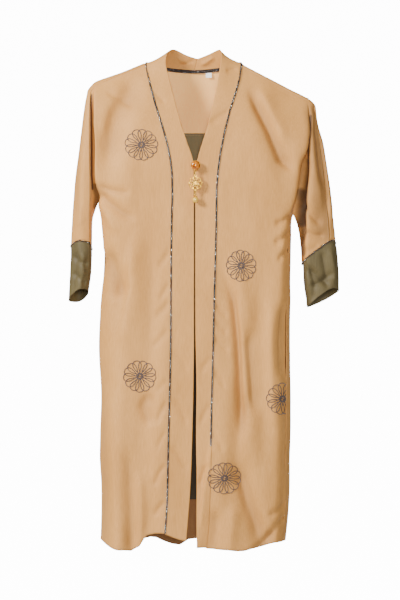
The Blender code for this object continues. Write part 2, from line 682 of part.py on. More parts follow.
def add_band(side):
    grid = band_grid(side)
    grid[:, 0] = pull_edge(grid[:, 0], grid[:, 1], BAND_SEAM_GAP / 2)
    grid[-1, :] = pull_edge(grid[-1], grid[-2], SEAM_GAP / 2)
    sheet = Sheet()
    sheet.weave(grid)
    return sheet.solid("band_" + side, WALL_BAND, "tan", away_from_neck)


def add_trim(side):
    """Beaded trim that lies over the band's seam, from the hem round to the centre back."""
    grid = band_grid(side)
    along = np.gradient(grid[:, 0], axis=0)
    across = grid[:, 1] - grid[:, 0]
    across /= np.linalg.norm(across, axis=1, keepdims=True)
    normal = np.cross(along, across)
    normal /= np.linalg.norm(normal, axis=1, keepdims=True)
    if normal[5, 1] > 0:
        normal = -normal
    raised = grid[:, 0] + normal * (WALL_BAND + TRIM_CLEARANCE)
    raised[-1] = pull_edge(raised[-1], raised[-2], SEAM_GAP / 2)
    edges = np.stack([raised - across * TRIM_WIDTH / 2, raised + across * TRIM_WIDTH / 2], axis=1)
    sheet = Sheet()
    sheet.weave(edges)
    return sheet.solid("trim_" + side, TRIM_HEIGHT, "bead", away_from_neck)


def add_neck_tape():
    """Tape inside the back neck, over the seam."""
    halves = []
    for side in ("left", "right"):
        grid = band_grid(side)[-5:]
        across = grid[:, 1] - grid[:, 0]
        across /= np.linalg.norm(across, axis=1, keepdims=True)
        upper = grid[:, 0] + across * NECK_TAPE_WIDTH / 2 + np.array([0, -TAPE_CLEARANCE, 0])
        lower = grid[:, 0] + np.array([0, 0.2 - TAPE_CLEARANCE, -NECK_TAPE_WIDTH / 2])
        halves.append(np.stack([upper, lower], axis=1))
    sheet = Sheet()
    sheet.weave(np.concatenate([halves[0][:-1], (halves[0][-1:] + halves[1][-1:]) / 2,
                                halves[1][-2::-1]]))
    return sheet.solid("trim_neck", NECK_TAPE_HEIGHT, "bead", facing(0, -1, 0))


def add_label():
    bpy.ops.mesh.primitive_cube_add(size=1)
    item = bpy.context.object
    item.name = "neck_label"
    item.scale = [size * MM for size in LABEL_SIZE]
    item.location = [place * MM for place in LABEL_CENTRE]
    bpy.ops.object.transform_apply(location=False, rotation=False, scale=True)
    return finish(item, "white")


def add_back_panel():
    """Olive panel that hangs on the inside of the back."""
    levels = [[PANEL_TOP_Z], np.linspace(PANEL_TOP_Z - 4, -250, 5), np.linspace(-300, PANEL_BOTTOM_Z, 14)]
    levels = np.concatenate(levels)
    places = np.linspace(-PANEL_HALF_WIDTH, PANEL_HALF_WIDTH, 13)
    columns = back_body().transpose(1, 0, 2)
    depth = []
    for z in levels:
        at = [[np.interp(-z, -column[:, 2], column[:, k]) for k in (0, 1)] for column in columns]
        depth.append(np.interp(places, *np.array(at).T))
    x, z = np.meshgrid(places, levels)
    grid = np.stack([x, np.array(depth), z], axis=-1)
    grid[0, 1:-1, 1] += PANEL_CLEARANCE - PANEL_SEATING
    grid[..., 1] -= PANEL_CLEARANCE
    sheet = Sheet()
    sheet.weave(grid)
    return sheet.solid("back_panel", WALL_PANEL, "olive", facing(0, -1, 0))


def ring_points(points):
    """Closed ring through a sleeve section's points: the front's arc, then the back's."""
    table = np.array(list(points) + [points[0]], float)
    front = smooth(range(3), table[:3], spread((3, 3)))
    back = smooth(range(5), table[2:], spread((2, 2, 2, 2)))
    return np.concatenate([front[:-1], back[:-1]])


def add_cuff(side):
    """An open cuff, from its seam with the sleeve to its rim."""
    sections = [SLEEVE_SECTIONS[side][-1]] + CUFF_SECTIONS[side]
    rings = np.array([ring_points(section) for section in sections])
    grid = smooth(range(len(rings)), rings, spread((3, 3)))
    grid[0] = pull_edge(grid[0], grid[1], SEAM_GAP)
    sheet = Sheet()
    sheet.weave(grid, closed=True)
    axis_x = float(grid[..., 0].mean())
    return sheet.solid("cuff_" + side, WALL_CUFF, "olive", away_from(axis_x))


def add_cuff_trim(side):
    """Trim round the cuff's seam, outside both walls."""
    line = ring_points(SLEEVE_SECTIONS[side][-1])
    centre = line.mean(axis=0)
    along = np.roll(line, -1, axis=0) - np.roll(line, 1, axis=0)
    outwards = np.stack([along[:, 1], -along[:, 0], 0 * along[:, 0]], axis=1)
    outwards /= np.linalg.norm(outwards, axis=1, keepdims=True)
    outwards *= np.sign(((line - centre) * outwards).sum())
    line = line + outwards * (WALL_BODY + CUFF_TRIM_CLEARANCE)
    up = np.array([0, 0, CUFF_TRIM_HALF_WIDTH])
    sheet = Sheet()
    sheet.weave([line + up, line - up], closed=True)
    return sheet.solid("trim_cuff_" + side, CUFF_TRIM_HEIGHT, "bead", away_from(float(centre[0])))


def turned(name, profile, centre, colour, sides=20, axis="Y"):
    """A turned piece about Y (towards the viewer) or Z: profile of radius and height."""
    mesh = bmesh.new()
    rings = []
    for radius, height in profile:
        if radius < 1e-6:
            spots = [(0.0, 0.0)]
        else:
            angles = [2 * math.pi * k / sides for k in range(sides)]
            spots = [(radius * math.cos(a), radius * math.sin(a)) for a in angles]
        place = (lambda u, v: (u, -height, v)) if axis == "Y" else (lambda u, v: (u, v, height))
        rings.append([mesh.verts.new([c * MM for c in place(u, v)]) for u, v in spots])
    for low, high in zip(rings[:-1], rings[1:]):
        for k in range(sides):
            loop = [low[k % len(low)], low[(k + 1) % len(low)],
                    high[(k + 1) % len(high)], high[k % len(high)]]
            kept = [v for i, v in enumerate(loop) if v is not loop[i - 1]]
            if len(kept) > 2:
                mesh.faces.new(kept)
    bmesh.ops.recalc_face_normals(mesh, faces=mesh.faces)
    data = bpy.data.meshes.new(name)
    mesh.to_mesh(data)
    mesh.free()
    item = bpy.data.objects.new(name, data)
    bpy.context.scene.collection.objects.link(item)
    item.location = [c * MM for c in centre]
    data.shade_smooth()
    return finish(item, colour)


def ring(name, centre, radius, wire, axis, colour):
    """A round wire ring whose hole looks along axis."""
    bpy.ops.mesh.primitive_torus_add(
        major_radius=radius * MM, minor_radius=wire * MM, major_segments=16, minor_segments=8,
        location=[c * MM for c in centre],
        rotation=(math.pi / 2, 0, 0) if axis == "Y" else (0, math.pi / 2, 0),
    )
    item = bpy.context.object
    item.name = name
    item.data.shade_smooth()
    return finish(item, colour)


def join_eye(item, centre, radius, wire):
    """Union a wire eye with a piece; the eye itself is only a guide."""
    eye = ring(item.name + "_eye", centre, radius, wire, "Y", "gold")
    eye.hide_render = True
    eye.display_type = "WIRE"
    union = item.modifiers.new("Eye", "BOOLEAN")
    union.operation = "UNION"
    union.object = eye


def add_button():
    """Gold bezel on a short shank, with an amber dome set in it and an eye below."""
    back = BUTTON_BACK_Y
    rim, lip = BUTTON_RADIUS, BUTTON_RADIUS - BEZEL_LIP
    low, top = SHANK_LENGTH, SHANK_LENGTH + BEZEL_DEPTH
    floor = SHANK_LENGTH + BEZEL_FLOOR
    profile = [(0, 0), (SHANK_RADIUS, 0), (SHANK_RADIUS, low), (rim - 0.6, low + 0.2), (rim, low + 1.0),
               (rim, top - 0.6), (rim - 0.5, top), (lip, top), (lip, floor), (0, floor)]
    bezel = turned("button_bezel", profile, (BUTTON_X, back, BUTTON_Z), "gold", 28)
    join_eye(bezel, (LINK_X, HAND_Y, UPPER_EYE_Z), EYE_RADIUS, EYE_WIRE)
    stone_radius = lip - STONE_CLEARANCE
    dome = [(0, 0), (stone_radius, 0), (stone_radius, 2.2), (stone_radius * 0.88, 3.7),
            (stone_radius * 0.62, 4.9), (stone_radius * 0.3, 5.5), (0, 5.6)]
    turned("button_stone", dome, (BUTTON_X, back - floor - STONE_CLEARANCE, BUTTON_Z), "amber", 16)


def circle(centre_x, centre_y, radius, count):
    angles = [2 * math.pi * k / count for k in range(count)]
    return [(centre_x + radius * math.cos(a), centre_y + radius * math.sin(a)) for a in angles]


def pendant_outline():
    """Eight lobes with an eye above and below, as one outline."""
    points = []
    count = 96
    for k in range(count):
        angle = 2 * math.pi * k / count
        lobes = PENDANT_RADIUS * (0.93 + 0.07 * math.cos(8 * angle))
        from_eye = abs(math.sin(angle))
        reach = math.acos(min(1.0, from_eye))
        eye = (PENDANT_EYE_OFFSET + 2.5) * math.exp(-((reach / 0.2) ** 4))
        radius = max(lobes, eye)
        points.append((radius * math.cos(angle), radius * math.sin(angle)))
    return points


def add_pendant():
    """Openwork plate: a flat filled curve with holes, extruded."""
    curve = bpy.data.curves.new("pendant", "CURVE")
    curve.dimensions = "2D"
    curve.fill_mode = "BOTH"
    curve.extrude = PENDANT_THICKNESS / 2 * MM
    outlines = [pendant_outline()]
    for k in range(8):
        angle = math.pi / 4 * k
        outlines.append(circle(9.0 * math.cos(angle), 9.0 * math.sin(angle), 2.5, 10))
        inner = angle + math.pi / 8
        outlines.append(circle(5.0 * math.cos(inner), 5.0 * math.sin(inner), 1.0, 6))
    for way in (1, -1):
        outlines.append(circle(0, way * PENDANT_EYE_OFFSET, 1.4, 10))
    for outline in outlines:
        spline = curve.splines.new("POLY")
        spline.points.add(len(outline) - 1)
        for point, (x, y) in zip(spline.points, outline):
            point.co = (x * MM, y * MM, 0, 1)
        spline.use_cyclic_u = True
    item = bpy.data.objects.new("pendant", curve)
    bpy.context.scene.collection.objects.link(item)
    item.rotation_euler = (math.pi / 2, 0, 0)
    item.location = (LINK_X * MM, HAND_Y * MM, PENDANT_Z * MM)
    return finish(item, "gold")


def add_pearl():
    """Pearl under a gold cap, with the cap's eye."""
    radius = PEARL_RADIUS
    rows = 10
    ball = [(radius * math.sin(math.pi * k / rows), -radius * math.cos(math.pi * k / rows))
            for k in range(rows + 1)]
    ball[0], ball[-1] = (0, -radius), (0, radius)
    turned("pearl", ball, (LINK_X, HAND_Y, PEARL_Z), "pearl", 16, "Z")
    inside, outside = radius + 0.3, radius + 1.0
    lower, upper = [], []
    for k in range(5):
        angle = math.radians(42 - k * 42 / 4)
        lower.append((inside * math.sin(angle), inside * math.cos(angle)))
        upper.append((outside * math.sin(angle), outside * math.cos(angle)))
    lower[-1], upper[-1] = (0, inside), (0, outside)
    cap = turned("pearl_cap", lower[::-1] + upper, (LINK_X, HAND_Y, PEARL_Z), "gold", 16, "Z")
    join_eye(cap, (LINK_X, HAND_Y, LOWER_EYE_Z), LOWER_EYE_RADIUS, 0.5)


def build():
    clear_scene()
    for side in ("left", "right"):
        add_front(side)
        add_band(side)
        add_trim(side)
        add_cuff(side)
        add_cuff_trim(side)
    add_back()
    add_back_panel()
    add_neck_tape()
    add_label()
    add_button()
    ring("ring_upper", (LINK_X, HAND_Y, UPPER_RING_Z), UPPER_RING_RADIUS, LINK_WIRE, "X", "gold")
    add_pendant()
    ring("ring_lower", (LINK_X, HAND_Y, LOWER_RING_Z), LOWER_RING_RADIUS, LINK_WIRE, "X", "gold")
    add_pearl()


build()
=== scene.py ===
import math

import bmesh
import bpy
import numpy as np
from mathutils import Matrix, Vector
from mathutils.bvhtree import BVHTree


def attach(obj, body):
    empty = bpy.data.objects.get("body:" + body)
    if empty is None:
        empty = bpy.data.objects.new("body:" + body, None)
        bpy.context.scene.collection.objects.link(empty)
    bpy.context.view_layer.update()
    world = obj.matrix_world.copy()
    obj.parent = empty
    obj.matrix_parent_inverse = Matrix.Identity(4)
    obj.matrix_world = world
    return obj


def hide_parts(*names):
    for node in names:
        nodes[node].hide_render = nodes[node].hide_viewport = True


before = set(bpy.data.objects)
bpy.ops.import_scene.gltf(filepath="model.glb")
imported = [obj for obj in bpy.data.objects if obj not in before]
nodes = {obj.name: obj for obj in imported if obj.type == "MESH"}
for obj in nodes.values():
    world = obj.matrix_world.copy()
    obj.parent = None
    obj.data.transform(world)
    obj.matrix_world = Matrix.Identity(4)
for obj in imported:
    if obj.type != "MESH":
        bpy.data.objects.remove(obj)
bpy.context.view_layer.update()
mm = 0.001
cloak, pendantBody, dropBody = "garment", "pendant", "drop"
print("frame loaded")


def deselectAll():
    for item in bpy.context.selected_objects:
        item.select_set(False)


def makeActive(item):
    deselectAll()
    item.select_set(True)
    bpy.context.view_layer.objects.active = item


def applyModifiers(item):
    makeActive(item)
    for modifier in list(item.modifiers):
        bpy.ops.object.modifier_apply(modifier=modifier.name)


def subdivide(item, levels):
    smooth = item.modifiers.new("Smooth", "SUBSURF")
    smooth.levels = smooth.render_levels = levels


def outward(item):
    makeActive(item)
    bpy.ops.object.mode_set(mode="EDIT")
    bpy.ops.mesh.select_all(action="SELECT")
    bpy.ops.mesh.normals_make_consistent(inside=False)
    bpy.ops.object.mode_set(mode="OBJECT")


def smoothByAngle(item):
    makeActive(item)
    bpy.ops.object.shade_smooth_by_angle(angle=math.radians(42))


def takeShape():
    # the points and faces of the object just made, which is only a pattern for copies
    item = bpy.context.object
    points = np.array([v.co for v in item.data.vertices])
    faces = [list(f.vertices) for f in item.data.polygons]
    bpy.data.objects.remove(item, do_unlink=True)
    return points, faces


def meshObject(name, points, faces, smooth=True):
    mesh = bpy.data.meshes.new(name)
    mesh.from_pydata([tuple(p) for p in points], [], [tuple(f) for f in faces])
    mesh.update()
    item = bpy.data.objects.new(name, mesh)
    bpy.context.scene.collection.objects.link(item)
    if smooth:
        mesh.shade_smooth()
    return item


def copyNode(name, node):
    # a fresh mesh from a CAD node's triangles, with its doubles merged
    source = nodes[node].data
    item = meshObject(name, [v.co for v in source.vertices], [f.vertices for f in source.polygons])
    shape = bmesh.new()
    shape.from_mesh(item.data)
    bmesh.ops.remove_doubles(shape, verts=shape.verts, dist=0.02 * mm)
    bmesh.ops.dissolve_degenerate(shape, edges=shape.edges, dist=0.002 * mm)
    shape.to_mesh(item.data)
    shape.free()
    return item


def softStep(values, low, high):
    t = np.clip((values - low) / (high - low), 0, 1)
    return t * t * (3 - 2 * t)


def softNoise(points, cell, seed, side=24):
    # smooth random field from -1 to 1, with cells of the given size along each axis
    table = np.random.default_rng(seed).uniform(-1, 1, (side, side, side))
    place = points / np.array(cell)
    base = np.floor(place).astype(int)
    part = place - base
    part = part * part * (3 - 2 * part)
    total = 0
    for corner in range(8):
        step = np.array([corner & 1, corner >> 1 & 1, corner >> 2 & 1])
        weight = np.prod(np.where(step, part, 1 - part), axis=1)
        index = (base + step) % side
        total = total + weight * table[index[:, 0], index[:, 1], index[:, 2]]
    return total


def addNode(tree, kind, inputs=None, **settings):
    made = tree.nodes.new("ShaderNode" + kind)
    for key, value in settings.items():
        setattr(made, key, value)
    for key, value in (inputs or {}).items():
        if isinstance(value, bpy.types.NodeSocket):
            tree.links.new(value, made.inputs[key])
        else:
            made.inputs[key].default_value = value
    return made


def newMaterial(name, roughness, metallic=0.0):
    material = bpy.data.materials.new(name)
    material.use_nodes = True
    tree = material.node_tree
    shader = tree.nodes["Principled BSDF"]
    shader.inputs["Roughness"].default_value = roughness
    shader.inputs["Metallic"].default_value = metallic
    return material, tree, shader


def objectCoords(tree, scale=(1, 1, 1)):
    coords = addNode(tree, "TexCoord").outputs["Object"]
    return addNode(tree, "Mapping", {"Vector": coords, "Scale": scale}).outputs["Vector"]


def noiseAt(tree, scale, **inputs):
    inputs = {"Vector": objectCoords(tree, scale), "Scale": 1.0, **inputs}
    return addNode(tree, "TexNoise", inputs).outputs["Fac"]


def waveAt(tree, scale, distortion, **settings):
    inputs = {"Vector": objectCoords(tree, scale), "Scale": 1.0, "Distortion": distortion}
    return addNode(tree, "TexWave", inputs, **settings).outputs["Fac"]


def mathOf(tree, operation, *values):
    return addNode(tree, "Math", dict(enumerate(values)), operation=operation).outputs[0]


def mapped(tree, value, low, high, top=1.0):
    return addNode(tree, "MapRange", {"Value": value, "From Min": low, "From Max": high,
                                      "To Max": top}).outputs["Result"]


def blend(tree, factor, first, second):
    mix = addNode(tree, "Mix", {"Factor": factor, "A": first, "B": second}, data_type="RGBA")
    return mix.outputs["Result"]


def bump(tree, height, strength, distance, **inputs):
    return addNode(tree, "Bump", {"Height": height, "Strength": strength, "Distance": distance * mm,
                                  **inputs}).outputs["Normal"]


def tint(tree, shader, factor, first, second):
    tree.links.new(blend(tree, factor, (*first, 1), (*second, 1)), shader.inputs["Base Color"])


clothLook = {
    # the third colour of each cloth is painted shade, used in crease troughs, dark folds and the dark inside
    "tan": {"dark": (0.58, 0.264, 0.06), "light": (0.72, 0.347, 0.091), "shadeColour": (0.105, 0.05, 0.019),
            "roughness": 0.62, "sheen": 0.08, "crinkle": 0.45, "through": 0.0},
    # "low": z from and to, in metres, and share of the painted shade low down on the inside
    "tanInside": {"dark": (0.82, 0.44, 0.14), "light": (0.92, 0.53, 0.19), "shadeColour": (0.12, 0.045, 0.016),
                  "roughness": 0.75, "sheen": 0.05, "crinkle": 0.4, "through": 0.36,
                  "low": (-0.55, -0.74, 0.9)},
    "olive": {"dark": (0.085, 0.062, 0.022), "light": (0.125, 0.094, 0.036), "shadeColour": (0.03, 0.021, 0.008),
              "roughness": 0.6, "sheen": 0.1, "crinkle": 0.6, "through": 0.0},
    "oliveInside": {"dark": (0.135, 0.114, 0.05), "light": (0.168, 0.144, 0.066), "shadeColour": (0.04, 0.027, 0.01),
                    "roughness": 0.6, "sheen": 0.05, "crinkle": 0.4, "through": 0.1,
                    "low": (-0.185, -0.25, 0.92)},
    "label": {"dark": (0.86, 0.86, 0.84), "light": (0.96, 0.96, 0.94), "shadeColour": (0.5, 0.5, 0.48),
              "roughness": 0.6, "sheen": 0.1, "crinkle": 0.1, "through": 0.3},
}
# painted shade on the inside: the middle x, then where it starts and where it is full out towards the arms
insideShadeMiddle, insideShadeFrom, insideShadeTo = 0.012, 0.1, 0.15  # x in metres, and how far out the inside darkens


def clothMaterial(name):
    # crepe: a fine weave with long slubs down the cloth, and a soft crinkle
    look = clothLook[name]
    dark, light, shadeTint = [(*look[key], 1) for key in ("dark", "light", "shadeColour")]
    material, tree, shader = newMaterial(name + "Cloth", look["roughness"])
    slubs = noiseAt(tree, (900, 900, 45), Detail=2.0)
    broad = noiseAt(tree, (14, 14, 6), Detail=3.0)
    tone = mapped(tree, mathOf(tree, "ADD", slubs, broad), 0.7, 1.3)
    shadeAmount = addNode(tree, "Attribute", attribute_name="shadeAmount").outputs["Fac"]
    if name.endswith("Inside"):
        # painted shade: the inside darkens out under the arms and low down behind the fronts, where shade
        # falls
        place = addNode(tree, "SeparateXYZ", {"Vector": objectCoords(tree)}).outputs
        out = mathOf(tree, "ABSOLUTE", mathOf(tree, "SUBTRACT", place["X"], insideShadeMiddle))
        out = mapped(tree, out, insideShadeFrom, insideShadeTo)
        out = mathOf(tree, "MAXIMUM", out, mapped(tree, place["Z"], *look["low"]))
        shadeAmount = mathOf(tree, "MAXIMUM", out, shadeAmount)
    # painted shade: the colour goes towards the shade colour where the painted shade amount is high
    colour = blend(tree, shadeAmount, blend(tree, tone, dark, light), shadeTint)
    tree.links.new(colour, shader.inputs["Base Color"])
    # painted light: the cloth glows with its own colour, standing in for the backdrop's light coming through
    # thin cloth
    tree.links.new(colour, shader.inputs["Emission Color"])
    shader.inputs["Emission Strength"].default_value = look["through"]
    warp = waveAt(tree, (520, 520, 0), 1.5)
    weft = waveAt(tree, (0, 0, 520), 1.5, bands_direction="Z")
    fine = bump(tree, mathOf(tree, "ADD", warp, weft), 0.35, 0.05)
    crinkle = noiseAt(tree, (95, 95, 48), Detail=4.0, Roughness=0.55)
    tree.links.new(bump(tree, crinkle, 0.5, look["crinkle"], Normal=fine), shader.inputs["Normal"])
    shader.inputs["Specular IOR Level"].default_value = 0.3
    shader.inputs["Sheen Weight"].default_value = look["sheen"]
    shader.inputs["Sheen Roughness"].default_value = 0.4
    return material


tan, tanInside = clothMaterial("tan"), clothMaterial("tanInside")
olive, oliveInside, labelCloth = clothMaterial("olive"), clothMaterial("oliveInside"), clothMaterial("label")

# Creases: height outwards in mm, half width to either side in mm, then x z in mm
frontCreases = [
    (-3.0, 18, 26, [(-109, -13), (-134, -54), (-159, -96), (-165, -148), (-167, -196)]),
    (2.2, 16, 16, [(-132, -23), (-167, -84), (-180, -138)]),
    (-4.0, 20, 15, [(-171, -342), (-152, -392), (-136, -449)]),
    (2.8, 12, 12, [(-119, -323), (-123, -378), (-123, -426), (-134, -493), (-146, -553)]),
    (-2.4, 8, 13, [(-84, -618), (-100, -647), (-94, -664), (-86, -691)]),
    (-1.8, 14, 14, [(-86, -301), (-83, -445), (-88, -561), (-81, -695)]),
    (2.0, 13, 16, [(-159, -599), (-163, -695), (-157, -791), (-167, -891)]),
    (-2.6, 14, 12, [(-129, -714), (-123, -810), (-119, -922)]),
    (2.6, 11, 13, [(-106, -764), (-102, -858), (-108, -922)]),
    (-3.0, 7, 11, [(-188, -230), (-167, -259), (-142, -278), (-109, -294)]),
    (-2.0, 6, 8, [(-188, -225), (-159, -236), (-121, -242)]),
    (2.0, 7, 9, [(-186, -248), (-167, -284), (-148, -321)]),
    (-1.3, 5, 7, [(-175, -46), (-148, -58), (-115, -79)]),
    (-1.5, 5, 5, [(-46, -348), (-60, -369), (-73, -384)]),
    (-1.4, 4, 5, [(-46, -411), (-61, -432), (-71, -447)]),
    (-1.7, 5, 6, [(-46, -445), (-63, -465), (-79, -478)]),
    (-1.5, 5, 5, [(-48, -499), (-71, -524), (-84, -536)]),
    (-1.2, 4, 5, [(-50, -597), (-67, -611), (-77, -616)]),
    (-1.5, 5, 6, [(-52, -637), (-65, -657), (-75, -682)]),
    (-1.2, 4, 4, [(-54, -691), (-67, -716), (-73, -732)]),
    (-1.6, 5, 5, [(-54, -756), (-69, -776), (-79, -803)]),
    (-1.4, 5, 6, [(-56, -826), (-71, -845), (-79, -860)]),
    (-4.5, 7, 15, [(100, -35), (121, -81), (140, -119), (163, -177), (198, -207)]),
    (2.4, 12, 12, [(121, -35), (150, -96), (177, -154)]),
    (-5.5, 7, 14, [(61, -392), (76, -463), (80, -507), (84, -572), (86, -660), (86, -724)]),
    (3.2, 7, 9, [(77, -419), (88, -503), (92, -580), (95, -668)]),
    (-3.4, 12, 12, [(111, -488), (104, -532), (109, -599), (115, -672)]),
    (-4.2, 12, 15, [(81, -749), (88, -785), (102, -829), (117, -866), (127, -912)]),
    (-4.6, 8, 10, [(154, -876), (129, -902), (106, -924)]),
    (-3.0, 9, 10, [(171, -438), (163, -522), (165, -607)]),
    (2.4, 13, 12, [(148, -430), (144, -541), (148, -637), (154, -722)]),
    (3.0, 14, 14, [(73, -826), (67, -887), (65, -929)]),
    (-2.8, 13, 12, [(42, -833), (35, -887), (29, -927)]),
    (-1.4, 4, 5, [(36, -453), (52, -468), (65, -478)]),
    (-1.2, 4, 4, [(36, -486), (56, -503), (61, -515)]),
    (-1.6, 5, 5, [(35, -516), (52, -532), (67, -543)]),
    (-1.3, 4, 5, [(35, -582), (50, -599), (58, -614)]),
    (-1.4, 5, 5, [(31, -697), (46, -716), (54, -737)]),
    (-2.2, 5, 6, [(188, -280), (169, -294), (150, -300)]),
    (-2.4, 5, 6, [(188, -311), (169, -326), (148, -338)]),
    (-2.0, 5, 6, [(188, -342), (171, -355), (156, -372)]),
    (-1.8, 5, 6, [(179, -826), (156, -845), (136, -852)]),
    (-1.8, 5, 6, [(177, -852), (156, -870), (142, -889)]),
    (-1.5, 5, 5, [(25, -109), (48, -94), (71, -79)]),
    (-1.0, 4, 4, [(58, -7), (71, -4), (84, -2)]),
    (-1.2, 5, 5, [(-88, -38), (-71, -54), (-54, -71)]),
    (-1.2, 5, 5, [(-46, -541), (-29, -557), (-10, -582)]),
    (-1.3, 5, 5, [(-46, -632), (-27, -653), (-12, -685)]),
    (-1.3, 5, 6, [(-48, -722), (-31, -743), (-13, -774)]),
    (-1.1, 5, 5, [(38, -549), (23, -564), (8, -586)]),
    (-1.2, 5, 5, [(35, -637), (21, -657), (8, -685)]),
    (-1.2, 5, 5, [(27, -753), (17, -772), (8, -803)]),
    (2.0, 2.5, 11, [(30, -700), (28, -735), (22, -780), (15, -825), (10, -880)]),
    (2.4, 11, 12, [(211, -81), (225, -138), (232, -205), (244, -284)]),
    (-2.6, 9, 10, [(227, -92), (236, -157), (248, -238)]),
    (-2.6, 7, 9, [(198, -253), (221, -282), (246, -305)]),
    (-1.9, 6, 6, [(204, -313), (228, -321), (253, -323)]),
    (-1.6, 5, 6, [(204, -349), (225, -349), (242, -338)]),
    (1.6, 5, 6, [(-198, -69), (-200, -157), (-202, -246)]),
    (-5.5, 9, 8, [(214, -150), (209, -205), (203, -262), (203, -300), (206, -350)]),
    (-2.6, 4, 4, [(-200, -60), (-199, -125), (-198, -190), (-196, -225)]),
    (-1.3, 5, 6, [(-36, 24), (-20, 12), (-2, 8)]),
    (1.2, 4, 5, [(-32, 4), (-6, 13), (10, 24)]),
    (-1.4, 5, 5, [(38, 24), (22, 12), (8, 6)]),
]
backCreases = [
    (-2.2, 7, 8, [(-215, -69), (-223, -157), (-225, -253), (-223, -326)]),
    (1.8, 6, 7, [(-205, -58), (-211, -157), (-213, -263)]),
    (-1.6, 5, 6, [(-198, -280), (-213, -296), (-230, -307)]),
    (2.2, 8, 8, [(236, -104), (250, -205), (261, -315)]),
    (-2.4, 16, 20, [(-60, -30), (-90, -90), (-120, -150), (-150, -215)]),
    (-2.8, 14, 20, [(66, -26), (96, -92), (130, -160), (170, -235)]),
    (2.0, 16, 16, [(-30, -60), (-44, -140), (-70, -220)]),
    (-3.2, 15, 18, [(-120, -300), (-112, -420), (-118, -560), (-110, -700)]),
    (2.8, 14, 14, [(-86, -260), (-80, -400), (-84, -560), (-78, -760), (-82, -900)]),
    (-3.4, 15, 13, [(-46, -330), (-40, -500), (-46, -690), (-40, -905)]),
    (2.4, 14, 16, [(-8, -280), (-14, -470), (-6, -640)]),
    (-2.6, 13, 16, [(26, -360), (34, -520), (28, -700), (36, -905)]),
    (3.0, 16, 14, [(58, -240), (66, -430), (60, -600), (68, -800)]),
    (-3.6, 13, 18, [(98, -300), (92, -450), (100, -640), (94, -900)]),
    (2.6, 15, 13, [(130, -340), (136, -520), (128, -720), (134, -900)]),
    (-1.8, 6, 7, [(-176, -260), (-150, -282), (-118, -290)]),
    (-2.0, 6, 8, [(184, -290), (156, -308), (122, -312)]),
    (-1.5, 5, 6, [(-172, -380), (-150, -396), (-132, -398)]),
    (-1.6, 5, 6, [(178, -470), (156, -482), (140, -494)]),
]
cuffCreases = [
    (-1.6, 5, 6, [(-238, -357), (-221, -372), (-202, -378)]),
    (-1.5, 5, 5, [(-240, -390), (-223, -401), (-205, -419)]),
    (-1.4, 5, 6, [(-227, -342), (-230, -388), (-236, -438)]),
    (1.3, 5, 5, [(-213, -346), (-215, -392), (-221, -434)]),
    (-1.9, 6, 7, [(209, -384), (232, -397), (261, -420)]),
    (-1.6, 5, 6, [(215, -420), (238, -413), (271, -388)]),
    (-1.8, 6, 6, [(242, -346), (250, -388), (255, -430)]),
    (1.6, 6, 6, [(259, -342), (265, -384), (267, -422)]),
    (-1.7, 6, 6, [(217, -372), (228, -415), (223, -455)]),
]
panelCreases = [
    (-1.0, 10, 12, [(-30, -130), (-26, -300), (-34, -560)]),
    (0.9, 10, 10, [(8, -130), (12, -420), (4, -800)]),
    (-1.0, 10, 12, [(36, -150), (30, -400), (38, -760)]),
]
creases = {"front": frontCreases, "back": backCreases, "cuff": cuffCreases, "panel": panelCreases}
creaseScale = 2.2
# painted shade: how far the deepest crease troughs are darkened
creaseShadeTone = 0.24  # how far the deepest troughs go to the deep colour
# Painted shade: dark folds under the arms, the shaded sleeves and the slit's edges: how deep, half width, x
# z, in mm
shadows = [
    (1.0, 2.4, [(-199, -52), (-199, -90), (-198, -150), (-198, -205), (-196, -232)]),
    (0.75, 6.0, [(-192, -226), (-188, -245), (-190, -266)]),
    (1.0, 2.9, [(222, -92), (221, -130), (218.5, -160), (215, -185)]),
    (1.0, 5.0, [(215, -178), (211, -208), (207, -236)]),
    (1.0, 9.5, [(206, -238), (203, -272), (203, -300)]),
    (0.8, 4.5, [(204, -305), (206, -330), (208, -356)]),
    (0.5, 26, [(236, -90), (247, -200), (251, -310)]),
    (0.3, 22, [(-214, -100), (-222, -230), (-222, -320)]),
    (0.85, 1.3, [(-0.6, -225), (-0.6, -400), (-0.4, -500), (0, -560)]),
]
rumple = [((38, 60, 95), 1.6), ((17, 30, 34), 0.6), ((7, 12, 12), 0.12)]  # cell sizes, height in mm
clothForm = {
    "wallAngle": 1.0, "rimAngle": 0.9, "halfWall": 0.6, "innerGap": 1.1,
    "fadeShare": 0.25, "creaseFall": 1.7, "shadowFall": 4, "creaseShadeFrom": 0.6, "creaseShadeTo": 8.0,
}


def besideLine(points, path):
    # how far points are from a line, on which side of it, and how far along it, from 0 to 1
    flat = points[:, [0, 2]]
    path = np.array(path, float)
    runs = np.diff(path, axis=0)
    lengths = np.linalg.norm(runs, axis=1)
    starts = np.concatenate([[0], np.cumsum(lengths)])
    near = np.full(len(points), 1e9)
    side, along = np.zeros(len(points)), np.zeros(len(points))
    for k, run in enumerate(runs):
        way = flat - path[k]
        t = np.clip((way @ run) / (run @ run), 0, 1)
        gap = way - t[:, None] * run
        away = np.linalg.norm(gap, axis=1)
        closer = away < near
        near = np.where(closer, away, near)
        side = np.where(closer, run[1] * gap[:, 0] - run[0] * gap[:, 1], side)
        along = np.where(closer, (starts[k] + t * lengths[k]) / starts[-1], along)
    return near, side, along


def creaseHeight(group, points):
    # how far the creases move points outwards, in mm; points are in mm too
    total = np.zeros(len(points))
    for height, leftWidth, rightWidth, path in creases[group]:
        near, side, along = besideLine(points, path)
        width = np.where(side < 0, rightWidth, leftWidth)
        fade = softStep(along, 0, clothForm["fadeShare"]) * softStep(1 - along, 0, clothForm["fadeShare"])
        total += creaseScale * height * fade * np.exp(-(near / width) ** clothForm["creaseFall"])
    return total


neckSeam = {"x": -1.0, "z": -5.5, "slope": 0.2225, "lap": 0.26}  # where the bands meet, in mm
closedSeams = {"bandRight": (2.0, 15, 700), "frontRight": (1.4, 150, 760)}  # lap, from x outwards, below -z
